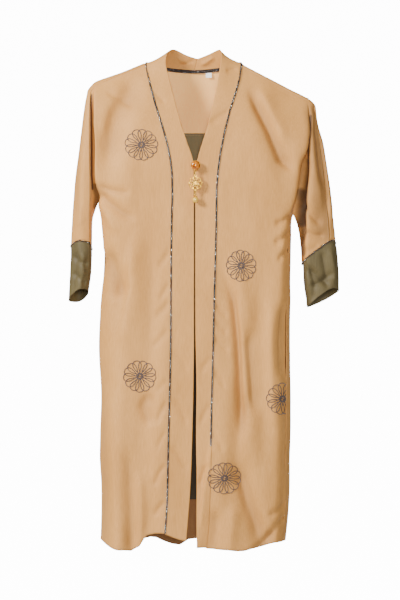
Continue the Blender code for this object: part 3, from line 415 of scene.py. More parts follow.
# How much lower the hem hangs than the CAD's, x and drop in mm
leftDrop = [(-182, 0), (-167, 6), (-152, 12), (-136, 17), (-121, 25), (-106, 21), (-92, 2), (-75, -1),
            (-60, 0), (-44, 7), (-29, 12.5), (-15, 15)]
rightDrop = [(3, 16), (17, 10), (33, 10), (63, 11.5), (79, 13), (94, 13), (109, 10), (125, 8), (140, 6.5),
             (156, 6), (171, 4), (182, 2)]
backDrop = [(-182, 0), (-140, 6), (-106, 6), (-86, 1), (-75, 2), (-60, 9), (-44, 14.5), (-29, 16.5),
            (-13, 6), (2, 4), (30, 5), (100, 6), (171, 4), (182, 2)]
looseBelow = {"cuff": (400, 430), "panel": (150, 190)}  # -z, where the rims come loose
hemDrop = {"frontLeft": leftDrop, "bandLeft": leftDrop, "frontRight": rightDrop, "bandRight": rightDrop,
           "backCloth": backDrop}


def splitWalls(shape, outwards):
    # outer wall 1, inner wall -1, rim 0 for each face
    kind, groups = {}, []
    for face in shape.faces:
        if face in kind:
            continue
        group, stack = [], [face]
        kind[face] = len(groups)
        while stack:
            current = stack.pop()
            group.append(current)
            for edge in current.edges:
                if len(edge.link_faces) != 2 or edge.calc_face_angle() > clothForm["wallAngle"]:
                    continue
                for other in edge.link_faces:
                    if other not in kind:
                        kind[other] = len(groups)
                        stack.append(other)
        groups.append(group)
    area = [sum(face.calc_area() for face in group) for group in groups]
    walls = sorted(range(len(groups)), key=lambda k: -area[k])[:2]
    lean = {k: sum(f.normal.dot(outwards(f.calc_center_median())) * f.calc_area() for f in groups[k])
            for k in walls}
    outer = max(walls, key=lambda k: lean[k])
    inner = min(walls, key=lambda k: lean[k])
    return {face: 1 if k == outer else -1 if k == inner else 0 for face, k in kind.items()}


def takeAttribute(mesh, key, field, width):
    values = np.zeros(len(mesh.vertices) * width)
    mesh.attributes[key].data.foreach_get(field, values)
    mesh.attributes.remove(mesh.attributes[key])
    return values


def dressCloth(node, name, group, levels, outwards, materials):
    # the node's own form, subdivided, with the creases moved out along its wall
    piece = copyNode(name, node)
    shape = bmesh.new()
    shape.from_mesh(piece.data)
    bmesh.ops.join_triangles(shape, faces=shape.faces, angle_face_threshold=0.7,
                             angle_shape_threshold=1.2)
    shape.normal_update()
    wall = splitWalls(shape, outwards)
    crease = shape.edges.layers.float.new("crease_edge")
    for edge in shape.edges:
        if len(edge.link_faces) == 2:
            first, second = [wall[face] for face in edge.link_faces]
            if first != second or (first == 0 and edge.calc_face_angle() > clothForm["rimAngle"]):
                edge[crease] = 1.0
    way, rim, inner = [], [], []
    for vert in shape.verts:
        total = Vector()
        for face in vert.link_faces:
            total += face.normal * face.calc_area() * wall[face]
        way.append(total.normalized())
        rim.append(1.0 if any(wall[face] == 0 for face in vert.link_faces) else 0.0)
        inner.append(1.0 if all(wall[face] < 0 for face in vert.link_faces) else 0.0)
    for face in shape.faces:
        face.material_index = 1 if wall[face] < 0 else 0
        face.smooth = True
    shape.to_mesh(piece.data)
    shape.free()
    for key, kind, field, values in (("outward", "FLOAT_VECTOR", "vector", way),
                                     ("rim", "FLOAT", "value", rim), ("inner", "FLOAT", "value", inner)):
        piece.data.attributes.new(key, kind, "POINT").data.foreach_set(field, np.ravel(values))
    subdivide(piece, levels)
    applyModifiers(piece)
    mesh = piece.data
    points = np.zeros(len(mesh.vertices) * 3)
    mesh.vertices.foreach_get("co", points)
    points = points.reshape(-1, 3)
    way = takeAttribute(mesh, "outward", "vector", 3).reshape(-1, 3)
    rim, inner = takeAttribute(mesh, "rim", "value", 1), takeAttribute(mesh, "inner", "value", 1)
    way /= np.maximum(np.linalg.norm(way, axis=1, keepdims=True), 1e-6)
    place = points / mm
    centre = place - way * clothForm["halfWall"]
    height = creaseHeight(group, centre)
    # painted shade: the crease troughs are darkened, the deeper the darker
    shadeAmount = creaseShadeTone * softStep(-height, clothForm["creaseShadeFrom"], clothForm["creaseShadeTo"])
    if group == "front":
        # painted shade along the listed lines: the folds under the arms, the sleeves and the slit's edges
        for depth, halfWidth, path in shadows:
            near = besideLine(centre, path)[0] / halfWidth
            shadeAmount = np.maximum(shadeAmount, depth * np.exp(-near ** clothForm["shadowFall"]))
    mesh.attributes.new("shadeAmount", "FLOAT", "POINT").data.foreach_set("value", shadeAmount)
    if group == "panel":
        height = -0.5 * height + creaseHeight("back", centre)
    for seed, (cell, size) in enumerate(rumple):
        height += size * softNoise(centre + 5000, cell, 11 + seed)
    if group == "panel":
        height *= -1  # it lies on the back and moves with it
    # the rims stay in their seams, apart from the free edges
    below = -place[:, 2]
    free = softStep(-place[:, 1], 12, 38) if group == "front" else 0
    free = np.maximum(free, softStep(below, 850, 890))
    if group in looseBelow:
        free = softStep(below, *looseBelow[group])
    height *= 1 - rim * (1 - free)
    if name.startswith("front"):
        height -= clothForm["innerGap"] * inner  # the inner wall stays behind the outer one
    points += way * height[:, None] * mm
    if name in hemDrop:
        drop = np.interp(place[:, 0], *zip(*hemDrop[name])) * softStep(below, 780, 900)
        points[:, 2] -= drop * mm
    if name.startswith("band"):
        # the two bands are sewn together behind the neck
        seam = neckSeam["x"] + (place[:, 2] - neckSeam["z"]) * neckSeam["slope"]
        end = (place[:, 1] > 12) & (np.abs(place[:, 0] - seam) < 0.7)
        points[end, 0] += neckSeam["lap"] * mm * (1 if name == "bandLeft" else -1)
    if name in closedSeams:
        # the edge reaches over the seam beside it, low down
        lap, fromX, fromZ = closedSeams[name]
        reach = rim * softStep(place[:, 0], fromX, fromX + 5) * softStep(below, fromZ, fromZ + 40)
        points[:, 0] += lap * mm * reach
    mesh.vertices.foreach_set("co", points.ravel())
    mesh.update()
    for material in materials:
        mesh.materials.append(material)
    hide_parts(node)
    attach(piece, cloak)
    return piece


def facing(x, y, z):
    return lambda centre: Vector((x, y, z))


def fromAxis(x):
    return lambda centre: Vector((centre.x - x * mm, centre.y, 0))


def fromNeck(centre):
    return Vector((centre.x, centre.y, 0.005))


cloth = {
    "frontLeft": dressCloth("front_left", "frontLeft", "front", 3, facing(0, -1, 0), (tan, tanInside)),
    "frontRight": dressCloth("front_right", "frontRight", "front", 3, facing(0, -1, 0), (tan, tanInside)),
    "back": dressCloth("back", "backCloth", "back", 2, facing(0, 1, 0), (tan, tanInside)),
    "bandLeft": dressCloth("band_left", "bandLeft", "front", 3, fromNeck, (tan, tan)),
    "bandRight": dressCloth("band_right", "bandRight", "front", 3, fromNeck, (tan, tan)),
    "cuffLeft": dressCloth("cuff_left", "cuffLeft", "cuff", 3, fromAxis(-222), (olive, olive)),
    "cuffRight": dressCloth("cuff_right", "cuffRight", "cuff", 3, fromAxis(243), (olive, olive)),
    "panel": dressCloth("back_panel", "backPanel", "panel", 2, facing(0, -1, 0), (oliveInside, olive)),
}
print("cloth shaped")


def treeOf(*pieces):
    points, faces = [], []
    for piece in pieces:
        start = len(points)
        points += [v.co.copy() for v in piece.data.vertices]
        faces += [[start + k for k in f.vertices] for f in piece.data.polygons]
    return BVHTree.FromPolygons(points, faces)


trees = {name: treeOf(*[cloth[key] for key in keys]) for name, keys in {
    "left": ("frontLeft", "bandLeft"),
    "right": ("frontRight", "bandRight"),
    "leftFront": ("frontLeft",),
    "rightFront": ("frontRight",),
    "leftSleeve": ("frontLeft", "back", "cuffLeft"),
    "rightSleeve": ("frontRight", "back", "cuffRight"),
    "leftTrim": ("frontLeft", "bandLeft", "back"),
    "rightTrim": ("frontRight", "bandRight", "back"),
    "panel": ("panel",),
}.items()}


def seenFrom(tree, x, z, startY=-0.3):
    # where the viewer's line straight through x, z in mm meets the cloth
    hit = trees[tree].ray_cast(Vector((x * mm, startY, z * mm)), Vector((0, 1, 0)))
    return hit[0], hit[1]


def resample(points, pitch):
    points = np.array(points, float)
    steps = np.linalg.norm(np.diff(points, axis=0), axis=1)
    far = np.concatenate([[0], np.cumsum(steps)])
    count = max(2, int(round(far[-1] / pitch)) + 1)
    at = np.linspace(0, far[-1], count)
    return np.stack([np.interp(at, far, points[:, k]) for k in range(points.shape[1])], axis=1)


def curved(points, pitch):
    # a smooth line through given points, then even steps
    points = np.array(points, float)
    ends = np.concatenate([[2 * points[0] - points[1]], points, [2 * points[-1] - points[-2]]])
    line = []
    for k in range(len(points) - 1):
        a, b, c, d = ends[k:k + 4]
        for t in np.linspace(0, 1, 12, endpoint=False):
            line.append(0.5 * (2 * b + (c - a) * t + (2 * a - 5 * b + 4 * c - d) * t * t
                               + (3 * b - 3 * c + d - a) * t ** 3))
    line.append(points[-1])
    return resample(line, pitch)


def joinCopies(name, base, places, materials, picks=None):
    # many copies of one small mesh as one piece; places hold a centre and three axes
    basePoints, baseFaces = base
    centres = np.array([p[0] for p in places])
    axes = np.array([[p[1], p[2], p[3]] for p in places])
    points = np.einsum("vk,nkc->nvc", basePoints, axes) + centres[:, None]
    count = len(basePoints)
    faces = [[n * count + k for k in face] for n in range(len(places)) for face in baseFaces]
    item = meshObject(name, points.reshape(-1, 3), faces)
    for material in materials:
        item.data.materials.append(material)
    if picks is not None:
        item.data.polygons.foreach_set("material_index", np.repeat(picks, len(baseFaces)))
    return item


def ballShape(segments, rings, size):
    # one small ball, modelled once
    deselectAll()
    bpy.ops.mesh.primitive_uv_sphere_add(segments=segments, ring_count=rings, radius=1)
    points, faces = takeShape()
    return points * np.array(size) * mm, faces


def linePlaces(line, normals):
    # a centre, then across, along and out, at each point of a line on the cloth
    along = np.gradient(line, axis=0)
    along /= np.maximum(np.linalg.norm(along, axis=1, keepdims=True), 1e-9)
    normals = normals / np.linalg.norm(normals, axis=1, keepdims=True)
    across = np.cross(along, normals)
    across /= np.maximum(np.linalg.norm(across, axis=1, keepdims=True), 1e-9)
    return [(line[k], across[k], along[k], normals[k]) for k in range(len(line))]


def threadTubes(name, lines, radius, sides, material):
    # round threads along lines of points, closed at both ends
    points, faces = [], []
    for line in lines:
        line = np.array(line)
        along = np.gradient(line, axis=0)
        along /= np.maximum(np.linalg.norm(along, axis=1, keepdims=True), 1e-9)
        sideways = np.cross(along, (0.3, 1, 0.2))
        sideways /= np.linalg.norm(sideways, axis=1, keepdims=True)
        upwards = np.cross(along, sideways)
        start = len(points)
        for k in range(len(line)):
            for s in range(sides):
                turn = 2 * math.pi * s / sides
                points.append(line[k] + radius * (math.cos(turn) * sideways[k] + math.sin(turn) * upwards[k]))
        for k in range(len(line) - 1):
            for s in range(sides):
                a, b = start + k * sides + s, start + k * sides + (s + 1) % sides
                faces.append([a, b, b + sides, a + sides])
        faces.append([start + s for s in range(sides)][::-1])
        faces.append([start + (len(line) - 1) * sides + s for s in range(sides)])
    item = meshObject(name, points, faces)
    outward(item)
    item.data.materials.append(material)
    return item


def threadMaterial(name, dark, light):
    material, tree, shader = newMaterial(name, 0.55)
    tint(tree, shader, noiseAt(tree, (700, 700, 700), Detail=2.0), dark, light)
    twist = waveAt(tree, (600, 600, 600), 2.0, bands_direction="DIAGONAL")
    tree.links.new(bump(tree, twist, 0.5, 0.1), shader.inputs["Normal"])
    shader.inputs["Sheen Weight"].default_value = 0.3
    return material


# Flowers in thread, on the fronts only: side, centre x z, width and height in mm, turn, where the
# side seam cuts it off
flowers = {
    "petals": 13, "centreRing": 4.6, "petalWidth": 0.355, "threadRadius": 0.8,
    "sunk": 0.55, "drift": 0.07, "shortest": 0.96, "longestStep": 9,
    "places": [
        ("left", (-102.5, -148.5), (63, 61), 4, None),
        ("right", (88.0, -379.5), (57, 61), 12, None),
        ("left", (-105.5, -590.5), (63, 61), 20, None),
        ("right", (167.0, -634.0), (62, 61), 9, 173.5),
        ("right", (56.0, -784.5), (65, 61), 16, None),
    ],
}
flowerThread = threadMaterial("flowerThread", (0.055, 0.03, 0.021), (0.125, 0.075, 0.055))


def flowerLines(centre, size, turn, uneven):
    reach, drift = size[0] / 2, flowers["drift"]
    base = flowers["centreRing"] * 0.95
    phase = np.linspace(0.12, 2 * math.pi - 0.12, 44)
    out = (1 - np.cos(phase)) / 2
    lines = []
    for k in range(flowers["petals"]):
        angle = math.radians(turn) + 2 * math.pi * (k + uneven.uniform(-drift, drift)) / flowers["petals"]
        length = reach * uneven.uniform(flowers["shortest"], 1.0)
        radius = base + (length - base) * out
        sideways = reach * flowers["petalWidth"] * np.sin(phase) * out ** 0.7
        x = radius * math.cos(angle) - sideways * math.sin(angle)
        z = radius * math.sin(angle) + sideways * math.cos(angle)
        lines.append(np.stack([x, z * size[1] / size[0]], axis=1))
    # two rings round the centre and two knots in it
    for x, z, radius, steps in ((0, 0, flowers["centreRing"], 26), (0, 0, flowers["centreRing"] - 1.1, 26),
                                (-1.4, 0.5, 0.6, 9), (1.3, -0.4, 0.6, 9)):
        around = np.linspace(0, 2 * math.pi, steps)
        lines.append(np.stack([x + radius * np.cos(around), z + radius * np.sin(around)], axis=1))
    return [line + np.array(centre) for line in lines]


uneven = np.random.default_rng(5)
for number, (side, centre, size, turn, cut) in enumerate(flowers["places"]):
    threads = []
    for line in flowerLines(centre, size, turn, uneven):
        run = []
        for x, z in line:
            spot, normal = seenFrom(side, x, z) if cut is None or x < cut else (None, None)
            if spot is not None and (not run or (spot - run[-1]).length < flowers["longestStep"] * mm):
                run.append(spot + normal * flowers["threadRadius"] * flowers["sunk"] * mm)
            else:
                if len(run) > 3:
                    threads.append(run)
                run = []
        if len(run) > 3:
            threads.append(run)
    flower = threadTubes("flower%d" % (number + 1), threads, flowers["threadRadius"] * mm, 6, flowerThread)
    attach(flower, cloak)
print("flowers sewn")

# Topstitching: tree, offsets from the line in mm, then x z of the line in mm
stitches = {
    "pitch": 2.8, "length": 2.0, "width": 0.55, "height": 0.3, "lift": 0.06, "overHem": 4.0,
    "lines": [
        ("leftFront", (0,), [(-97, 2), (-130, -11), (-160, -23.5), (-189, -36.5)]),
        ("rightFront", (0,), [(92, 1.5), (130, -18), (170, -38.5), (208, -59.5)]),
        ("leftSleeve", (-2.3, 2.3), [(-201, -62), (-202.5, -110), (-202.5, -170), (-201.5, -230),
                                     (-202, -290), (-202, -334)]),
        ("rightSleeve", (-2.3, 2.3), [(238, -130), (246, -190), (252, -245), (256, -290), (258, -326)]),
        ("panel", (0,), [(-70, -127.5), (0, -127.5), (70, -127.5)]),
    ],
    "hems": [("leftFront", "frontLeft", -178, -60), ("rightFront", "frontRight", 32, 160),
             ("leftTrim", "bandLeft", -54, -22), ("rightTrim", "bandRight", 6, 22)],
}
stitchThread = threadMaterial("stitchThread", (0.40, 0.24, 0.115), (0.55, 0.35, 0.18))


def trimLine(node, reach):
    # the middle of a trim, from its lowest end: its rows are groups of near points
    groups = []
    for spot in sorted({tuple(v.co) for v in nodes[node].data.vertices}):
        spot = np.array(spot) / mm
        for group in groups:
            if np.linalg.norm(np.mean(group, axis=0) - spot) < reach:
                group.append(spot)
                break
        else:
            groups.append([spot])
    centres = [np.mean(group, axis=0) for group in groups]
    line = [centres.pop(int(np.argmin([c[2] for c in centres])))]
    while centres:
        line.append(centres.pop(int(np.argmin([np.linalg.norm(c - line[-1]) for c in centres]))))
    return np.array(line)


def hemLine(tree, side, startX, endX):
    # just above the lowest edge of a front
    spots = np.array([v.co for v in cloth[side].data.vertices]) / mm
    spots = spots[(spots[:, 2] < -840) & (spots[:, 1] < 5)]
    line = []
    for x in np.linspace(startX, endX, 24):
        near = spots[np.abs(spots[:, 0] - x) < 3.5]
        if len(near):
            line.append((x, near[:, 2].min() + stitches["overHem"]))
    return (tree, (0,), line)


def onCloth(tree, line, lift):
    # places on the cloth in front of a line in mm, and the cloth's normals there
    spots, normals = [], []
    for x, y, z in line:
        hits = [seenFrom(tree, x + step, z) for step in (-2.0, 2.0)] if z < -30 else []
        hits = [hit for hit in hits if hit[0] is not None and abs(hit[0].y / mm - y) < 16]
        if len(hits) == 2 and abs(hits[0][0].y - hits[1][0].y) < 6 * mm:
            spot, normal = (hits[0][0] + hits[1][0]) / 2, (hits[0][1] + hits[1][1]).normalized()
        elif hits:
            spot, normal = min(hits, key=lambda hit: hit[0].y)
        else:
            spot, normal, _, _ = trees[tree].find_nearest(Vector((x, y, z)) * mm)
        spots.append(spot + normal * lift * mm)
        normals.append(normal)
    return np.array(spots), np.array(normals)


def sewLine(tree, offset, path):
    line = curved(path, stitches["pitch"])
    along = np.gradient(line, axis=0)
    along /= np.linalg.norm(along, axis=1, keepdims=True)
    spots, normals = [], []
    for (x, z), (ax, az) in zip(line, along):
        spot, normal = seenFrom(tree, x + az * offset, z - ax * offset, 0.0 if tree == "panel" else -0.3)
        if spot is not None:
            spots.append(spot)
            normals.append(normal)
    return linePlaces(np.array(spots), np.array(normals))


# Beaded trims
trims = {
    "beadRadius": 0.88, "pitch": 1.65, "halfWidth": 0.9, "tapeHeight": 0.5,
    "silverShare": 0.42, "stitchOffset": 5.2, "beadLift": 0.75, "sunk": 0.3, "longestRun": 4,
    "rightEnd": -724,  # the right front folds over the trim below this
}
# dark glass for the beads; the same material is also the painted shade of the rosette's openings
darkBeadAndShade, _, shader = newMaterial("darkBeadAndShade", 0.16)
shader.inputs["Base Color"].default_value = (0.022, 0.014, 0.01, 1)
shader.inputs["Coat Weight"].default_value = 0.6
beadSilver, tree, shader = newMaterial("beadSilver", 0.24, 1.0)
tint(tree, shader, noiseAt(tree, (300, 300, 300)), (0.3, 0.27, 0.22), (0.7, 0.68, 0.62))
tapeThread = threadMaterial("tapeThread", (0.02, 0.012, 0.008), (0.075, 0.05, 0.035))
bead = ballShape(8, 5, (trims["beadRadius"], trims["beadRadius"] * 0.92, trims["beadRadius"] * 0.8))
dash = ballShape(6, 4, (stitches["width"] / 2, stitches["length"] / 2, stitches["height"] / 2))


def beadTrim(name, node, places, seed, rows, width, silverShare):
    # a dark tape with rows of glass beads, the silver ones in short uneven runs
    random = np.random.default_rng(seed)
    beads, picks = [], []
    silver, left = False, 0
    for centre, across, along, out in places:
        if left <= 0:
            silver = random.random() < silverShare
            left = int(random.integers(1, trims["longestRun"] + 1))
        left -= 1
        for row in rows:
            shift = across * row * trims["halfWidth"] + along * row * trims["pitch"] * 0.25
            shift = shift + out * trims["beadLift"]
            beads.append((centre + shift * mm, across, along, out))
            odd = random.random() < silverShare * 0.4
            picks.append(1 if silver != odd else 0)
    beadPiece = joinCopies(name, bead, beads, (darkBeadAndShade, beadSilver), np.array(picks))
    half, high = width / 2 * mm, trims["tapeHeight"] * mm
    points, faces = [], []
    for centre, across, along, out in places:
        low = centre - out * trims["sunk"] * mm
        points += [low - across * half, low - across * half + out * high,
                   low + across * half + out * high, low + across * half]
    for k in range(len(places) - 1):
        for s in range(4):
            a, b = 4 * k + s, 4 * k + (s + 1) % 4
            faces.append([a, b, b + 4, a + 4])
    last = 4 * (len(places) - 1)
    faces += [[3, 2, 1, 0], [last, last + 1, last + 2, last + 3]]
    tape = meshObject(name + "Tape", points, faces, smooth=False)
    outward(tape)
    tape.data.materials.append(tapeThread)
    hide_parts(node)
    for piece in (beadPiece, tape):
        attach(piece, cloak)


dashes = {"left": [], "right": [], "panel": []}
for side, sign in (("left", -1), ("right", 1)):
    line = resample(trimLine("trim_" + side, 3.6), trims["pitch"])
    spots, normals = onCloth(side + "Trim", line, 0.2)
    places = linePlaces(spots, normals)
    if side == "right":
        places = [place for place in places if place[0][2] > trims["rightEnd"] * mm]
    beadTrim("beads" + side.title(), "trim_" + side, places, 21 + sign, (-1, 1), 3.6, trims["silverShare"])
    # the topstitching beside the trim, on the front
    beside, apart = [], stitches["pitch"] * mm * 0.98
    for centre, across, along, out in places:
        if centre[2] < -0.004:
            x = centre[0] / mm + sign * trims["stitchOffset"]
            spot, normal = seenFrom(side + "Front", x, centre[2] / mm)
            if spot is not None and (not beside or (spot - beside[-1][0]).length > apart):
                beside.append((spot, normal))
    dashes[side] += linePlaces(np.array([b[0] for b in beside]), np.array([b[1] for b in beside]))
    ring = trimLine("trim_cuff_" + side, 2.2)
    ring = resample(np.concatenate([ring, ring[:1]]), trims["pitch"])
    spots = [trees[side + "Sleeve"].find_nearest(Vector(p) * mm) for p in ring]
    places = linePlaces(np.array([s[0] + s[1] * 0.2 * mm for s in spots]), np.array([s[1] for s in spots]))
    beadTrim("beadsCuff" + side.title(), "trim_cuff_" + side, places, 31 + sign, (0,), 2.0,
             trims["silverShare"] * 0.4)
line = trimLine("trim_neck", 5.5)
line = line[np.argsort(line[:, 0])]
for k in (1, 2):
    line[:, k] = np.polyval(np.polyfit(line[:, 0], line[:, k], 4), line[:, 0])
line = resample(line, trims["pitch"]) * mm
places = linePlaces(line, np.tile((0.0, -1.0, 0.15), (len(line), 1)))
beadTrim("beadsNeck", "trim_neck", places, 43, (-3, -1, 1, 3), 7.0, 0.03)

for tree, offsets, path in stitches["lines"] + [hemLine(*hem) for hem in stitches["hems"]]:
    side = "panel" if tree == "panel" else "left" if tree.startswith("left") else "right"
    for offset in offsets:
        dashes[side] += sewLine(tree, offset, path)
for side, places in dashes.items():
    places = [(p[0] + p[3] * stitches["lift"] * mm, *p[1:]) for p in places]
    piece = joinCopies("stitches" + side.title(), dash, places, (stitchThread,))
    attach(piece, cloak)
print("trims and stitches sewn")

# The blank label, a small folded tape sewn in at its top
label = {"centre": (26.5, 22.4, -12.6), "width": 11.5, "height": 9.4, "thickness": 0.7, "curl": 0.5}
deselectAll()
bpy.ops.mesh.primitive_grid_add(x_subdivisions=12, y_subdivisions=10, size=1)
labelPiece = bpy.context.object
labelPiece.name = "blankLabel"
bpy.ops.object.mode_set(mode="EDIT")
bpy.ops.transform.resize(value=(label["width"] * mm, label["height"] * mm, 1))
bpy.ops.object.mode_set(mode="OBJECT")
for vert in labelPiece.data.vertices:
    x, z = vert.co.x, vert.co.y
    lift = label["curl"] * mm * (math.sin(x / mm * 0.5) * 0.6 + (0.5 - z / mm / label["height"]) ** 2)
    vert.co = Vector(label["centre"]) * mm + Vector((x, -lift * 0.8, z))
wall = labelPiece.modifiers.new("Wall", "SOLIDIFY")
wall.thickness = label["thickness"] * mm
wall.offset = 0
edge = labelPiece.modifiers.new("Edge", "BEVEL")
edge.width, edge.segments = 0.15 * mm, 2
applyModifiers(labelPiece)
outward(labelPiece)
labelPiece.data.shade_smooth()
labelPiece.data.materials.append(labelCloth)
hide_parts("neck_label")
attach(labelPiece, cloak)

# Clasp
clasp = {
    "button": (1.2, -45.6, -188.0), "bezelRadius": 9.0, "bezelFront": 9.9, "bezelBalls": 40,
    "stoneRadius": 8.6, "stoneBack": 9.3, "stoneHeight": 4.9, "hand": (0.8, -53.8),
    "pendantZ": -222.0, "holeRing": 9.0, "innerRing": 5.0, "shadeDiscRing": 5.5, "grainRing": 12.1,
}
gold, tree, shader = newMaterial("goldMetal", 0.3, 0.6)
wear = noiseAt(tree, (220, 220, 220), Detail=3.0)
tint(tree, shader, wear, (0.66, 0.33, 0.022), (0.90, 0.52, 0.06))
tree.links.new(bump(tree, wear, 0.3, 0.1), shader.inputs["Normal"])
amber, tree, shader = newMaterial("amberGlass", 0.04)
cloud = mapped(tree, noiseAt(tree, (330, 330, 330)), 0.38, 0.62)
tint(tree, shader, cloud, (0.2, 0.03, 0.002), (0.85, 0.27, 0.012))
shader.inputs["Transmission Weight"].default_value = 0.12
shader.inputs["IOR"].default_value = 1.55
pearlCoat, tree, shader = newMaterial("pearlCoat", 0.22)
tint(tree, shader, noiseAt(tree, (110, 110, 190), Detail=2.0), (0.66, 0.38, 0.035), (0.85, 0.55, 0.08))
shader.inputs["Coat Weight"].default_value = 0.8
shader.inputs["Coat Roughness"].default_value = 0.08


def hardPiece(name, node, material, body, bevel=0.0, levels=0):
    piece = copyNode(name, node)
    if bevel:
        edge = piece.modifiers.new("Edge", "BEVEL")
        edge.width, edge.segments = bevel * mm, 2
        edge.limit_method, edge.angle_limit = "ANGLE", math.radians(40)
    if levels:
        subdivide(piece, levels)
    applyModifiers(piece)
    smoothByAngle(piece)
    piece.data.materials.append(material)
    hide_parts(node)
    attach(piece, body)


hardPiece("bezel", "button_bezel", gold, cloak, bevel=0.25)
hardPiece("upperRing", "ring_upper", gold, pendantBody, levels=1)
hardPiece("pendantPlate", "pendant", gold, pendantBody, bevel=0.2)
hardPiece("lowerRing", "ring_lower", gold, dropBody, levels=1)
hardPiece("pearlCap", "pearl_cap", gold, dropBody, bevel=0.15)
hardPiece("pearlBall", "pearl", pearlCoat, dropBody, levels=2)

deselectAll()
bpy.ops.mesh.primitive_ico_sphere_add(subdivisions=3, radius=1)
stone = bpy.context.object
stone.name = "amberStone"
bpy.ops.object.mode_set(mode="EDIT")
bpy.ops.mesh.select_all(action="SELECT")
bpy.ops.mesh.bisect(plane_co=(0, 0, 0.02), plane_no=(0, 0, 1), clear_inner=True, use_fill=True)
bpy.ops.object.mode_set(mode="OBJECT")
x, y, z = clasp["button"]
for vert in stone.data.vertices:
    u, v, w = vert.co
    vert.co = Vector((x + u * clasp["stoneRadius"], y - clasp["stoneBack"] - w * clasp["stoneHeight"],
                      z + v * clasp["stoneRadius"])) * mm
edge = stone.modifiers.new("Edge", "BEVEL")
edge.width, edge.segments = 0.12 * mm, 1
applyModifiers(stone)
outward(stone)
smoothByAngle(stone)
stone.data.materials.append(amber)
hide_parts("button_stone")
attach(stone, cloak)


def ringShape(major, minor, sides=20, wire=6):
    deselectAll()
    bpy.ops.mesh.primitive_torus_add(major_radius=major * mm, minor_radius=minor * mm,
                                     major_segments=sides, minor_segments=wire)
    return takeShape()


def roundPlaces(centre, radius, count, turn=0.0):
    # places round a circle that faces the viewer
    spots = []
    for k in range(count):
        angle = turn + 2 * math.pi * k / count
        way = np.array([math.cos(angle), 0, math.sin(angle)])
        across = np.array([-math.sin(angle), 0, math.cos(angle)])
        spots.append(((np.array(centre) + way * radius) * mm, way, across, np.array([0, -1.0, 0])))
    return spots


handX, handY = clasp["hand"]
plateFront = (handX, handY - 0.8, clasp["pendantZ"])
heartPlace = roundPlaces(plateFront, 0.0, 1)
setting = roundPlaces((x, y - clasp["bezelFront"], z), clasp["bezelRadius"], clasp["bezelBalls"])
bezelBalls = joinCopies("bezelBalls", ballShape(8, 6, (0.45, 0.45, 0.45)), setting, (gold,))
lobes = roundPlaces(plateFront, clasp["holeRing"], 8)
lobeWires = joinCopies("lobeWires", ringShape(2.9, 0.55), lobes, (gold,))
innerLobes = roundPlaces(plateFront, clasp["innerRing"], 8, math.pi / 8)
innerWires = joinCopies("innerWires", ringShape(1.35, 0.28, 12), innerLobes, (gold,))
heart = joinCopies("heartWire", ringShape(2.3, 0.5, 20), heartPlace, (gold,))
grains = joinCopies("pendantGrains", ballShape(8, 6, (0.62, 0.62, 0.62)),
                    roundPlaces(plateFront, clasp["grainRing"], 8, math.pi / 8) + heartPlace, (gold,))
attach(bezelBalls, cloak)
# painted shade: flat dark discs stand in for the shadowed openings of the inner rosette
rosette = roundPlaces((handX, handY - 0.95, clasp["pendantZ"]), clasp["shadeDiscRing"], 10, math.pi / 10)
shadeDiscs = joinCopies("rosetteShadeDiscs", ballShape(8, 6, (1.35, 0.8, 0.2)), rosette, (darkBeadAndShade,))
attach(shadeDiscs, pendantBody)
for piece in (lobeWires, innerWires, heart, grains):
    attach(piece, pendantBody)
print("clasp made")

# Floor, backdrop, light and camera
stageLook = {"floorZ": -3.0, "backY": 14.0, "frontY": -5.0, "halfWidth": 5.0, "height": 6.5, "curve": 0.6,
             "glow": 13.0, "glowFrom": -2.5, "glowTo": -2.2}
deselectAll()
bpy.ops.mesh.primitive_plane_add(size=2)
floor = bpy.context.object
floor.name = "paleFloor"
floorZ, backY = stageLook["floorZ"], stageLook["backY"]
for vert in floor.data.vertices:
    endY = backY if vert.co.y > 0 else stageLook["frontY"]
    vert.co = Vector((vert.co.x * stageLook["halfWidth"], endY, floorZ))
bpy.ops.object.mode_set(mode="EDIT")
bpy.ops.mesh.select_mode(type="EDGE")
bpy.ops.mesh.select_all(action="DESELECT")
bpy.ops.object.mode_set(mode="OBJECT")
for edge in floor.data.edges:
    edge.select = all(floor.data.vertices[k].co.y > backY - 0.01 for k in edge.vertices)
bpy.ops.object.mode_set(mode="EDIT")
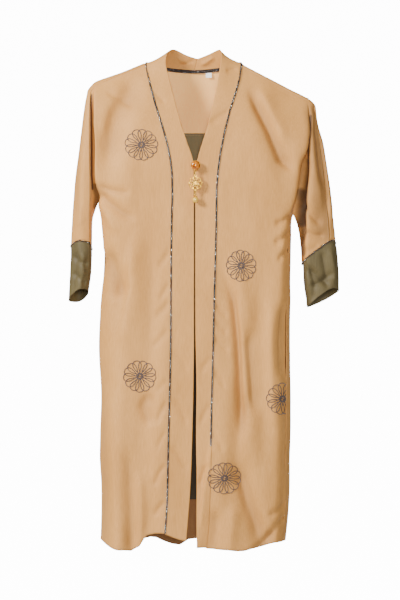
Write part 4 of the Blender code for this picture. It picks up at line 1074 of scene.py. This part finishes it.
bpy.ops.mesh.extrude_region_move(TRANSFORM_OT_translate={"value": (0, 0, stageLook["height"])})
bpy.ops.object.mode_set(mode="OBJECT")
bend = floor.modifiers.new("Bend", "BEVEL")
bend.width, bend.segments, bend.limit_method = stageLook["curve"], 16, "ANGLE"
applyModifiers(floor)
floor.data.shade_smooth()
paper, tree, shader = newMaterial("palePaper", 0.9)
tint(tree, shader, noiseAt(tree, (2, 2, 2)), (0.93, 0.93, 0.93), (0.95, 0.95, 0.95))
shader.inputs["Emission Color"].default_value = (1, 1, 1, 1)
# only the upright part of the sweep glows
place = addNode(tree, "SeparateXYZ", {"Vector": objectCoords(tree)}).outputs
glow = mapped(tree, place["Z"], stageLook["glowFrom"], stageLook["glowTo"], stageLook["glow"])
tree.links.new(glow, shader.inputs["Emission Strength"])
floor.data.materials.append(paper)

lights = {
    "front": ((0.1, -3.4, 0.05), 0.6, 70),
    "key": ((-2.3, -1.9, 1.1), 0.7, 190),
    "right": ((2.4, -2.6, 0.4), 1.0, 22),
}
aim = Vector((0, 0, -0.42))
for name, (place, size, power) in lights.items():
    lamp = bpy.data.lights.new(name, "AREA")
    lamp.energy, lamp.size = power, size
    item = bpy.data.objects.new(name, lamp)
    item.location = place
    item.rotation_euler = (aim - Vector(place)).to_track_quat("-Z", "Y").to_euler()
    bpy.context.scene.collection.objects.link(item)
world = bpy.data.worlds.new("softWorld")
world.use_nodes = True
world.node_tree.nodes["Background"].inputs["Color"].default_value = (1, 0.99, 0.97, 1)
world.node_tree.nodes["Background"].inputs["Strength"].default_value = 0.14
bpy.context.scene.world = world

view = {"x": 0.0096, "z": -0.445, "distance": 9.0, "height": 1.152}
lens = bpy.data.cameras.new("camera")
lens.sensor_width = 36
lens.lens = 36 * view["distance"] / view["height"]
lens.clip_end = 50
camera = bpy.data.objects.new("camera", lens)
camera.location = (view["x"], -view["distance"], view["z"])
camera.rotation_euler = (math.pi / 2, 0, 0)
bpy.context.scene.collection.objects.link(camera)
bpy.context.scene.camera = camera
print("stage set")
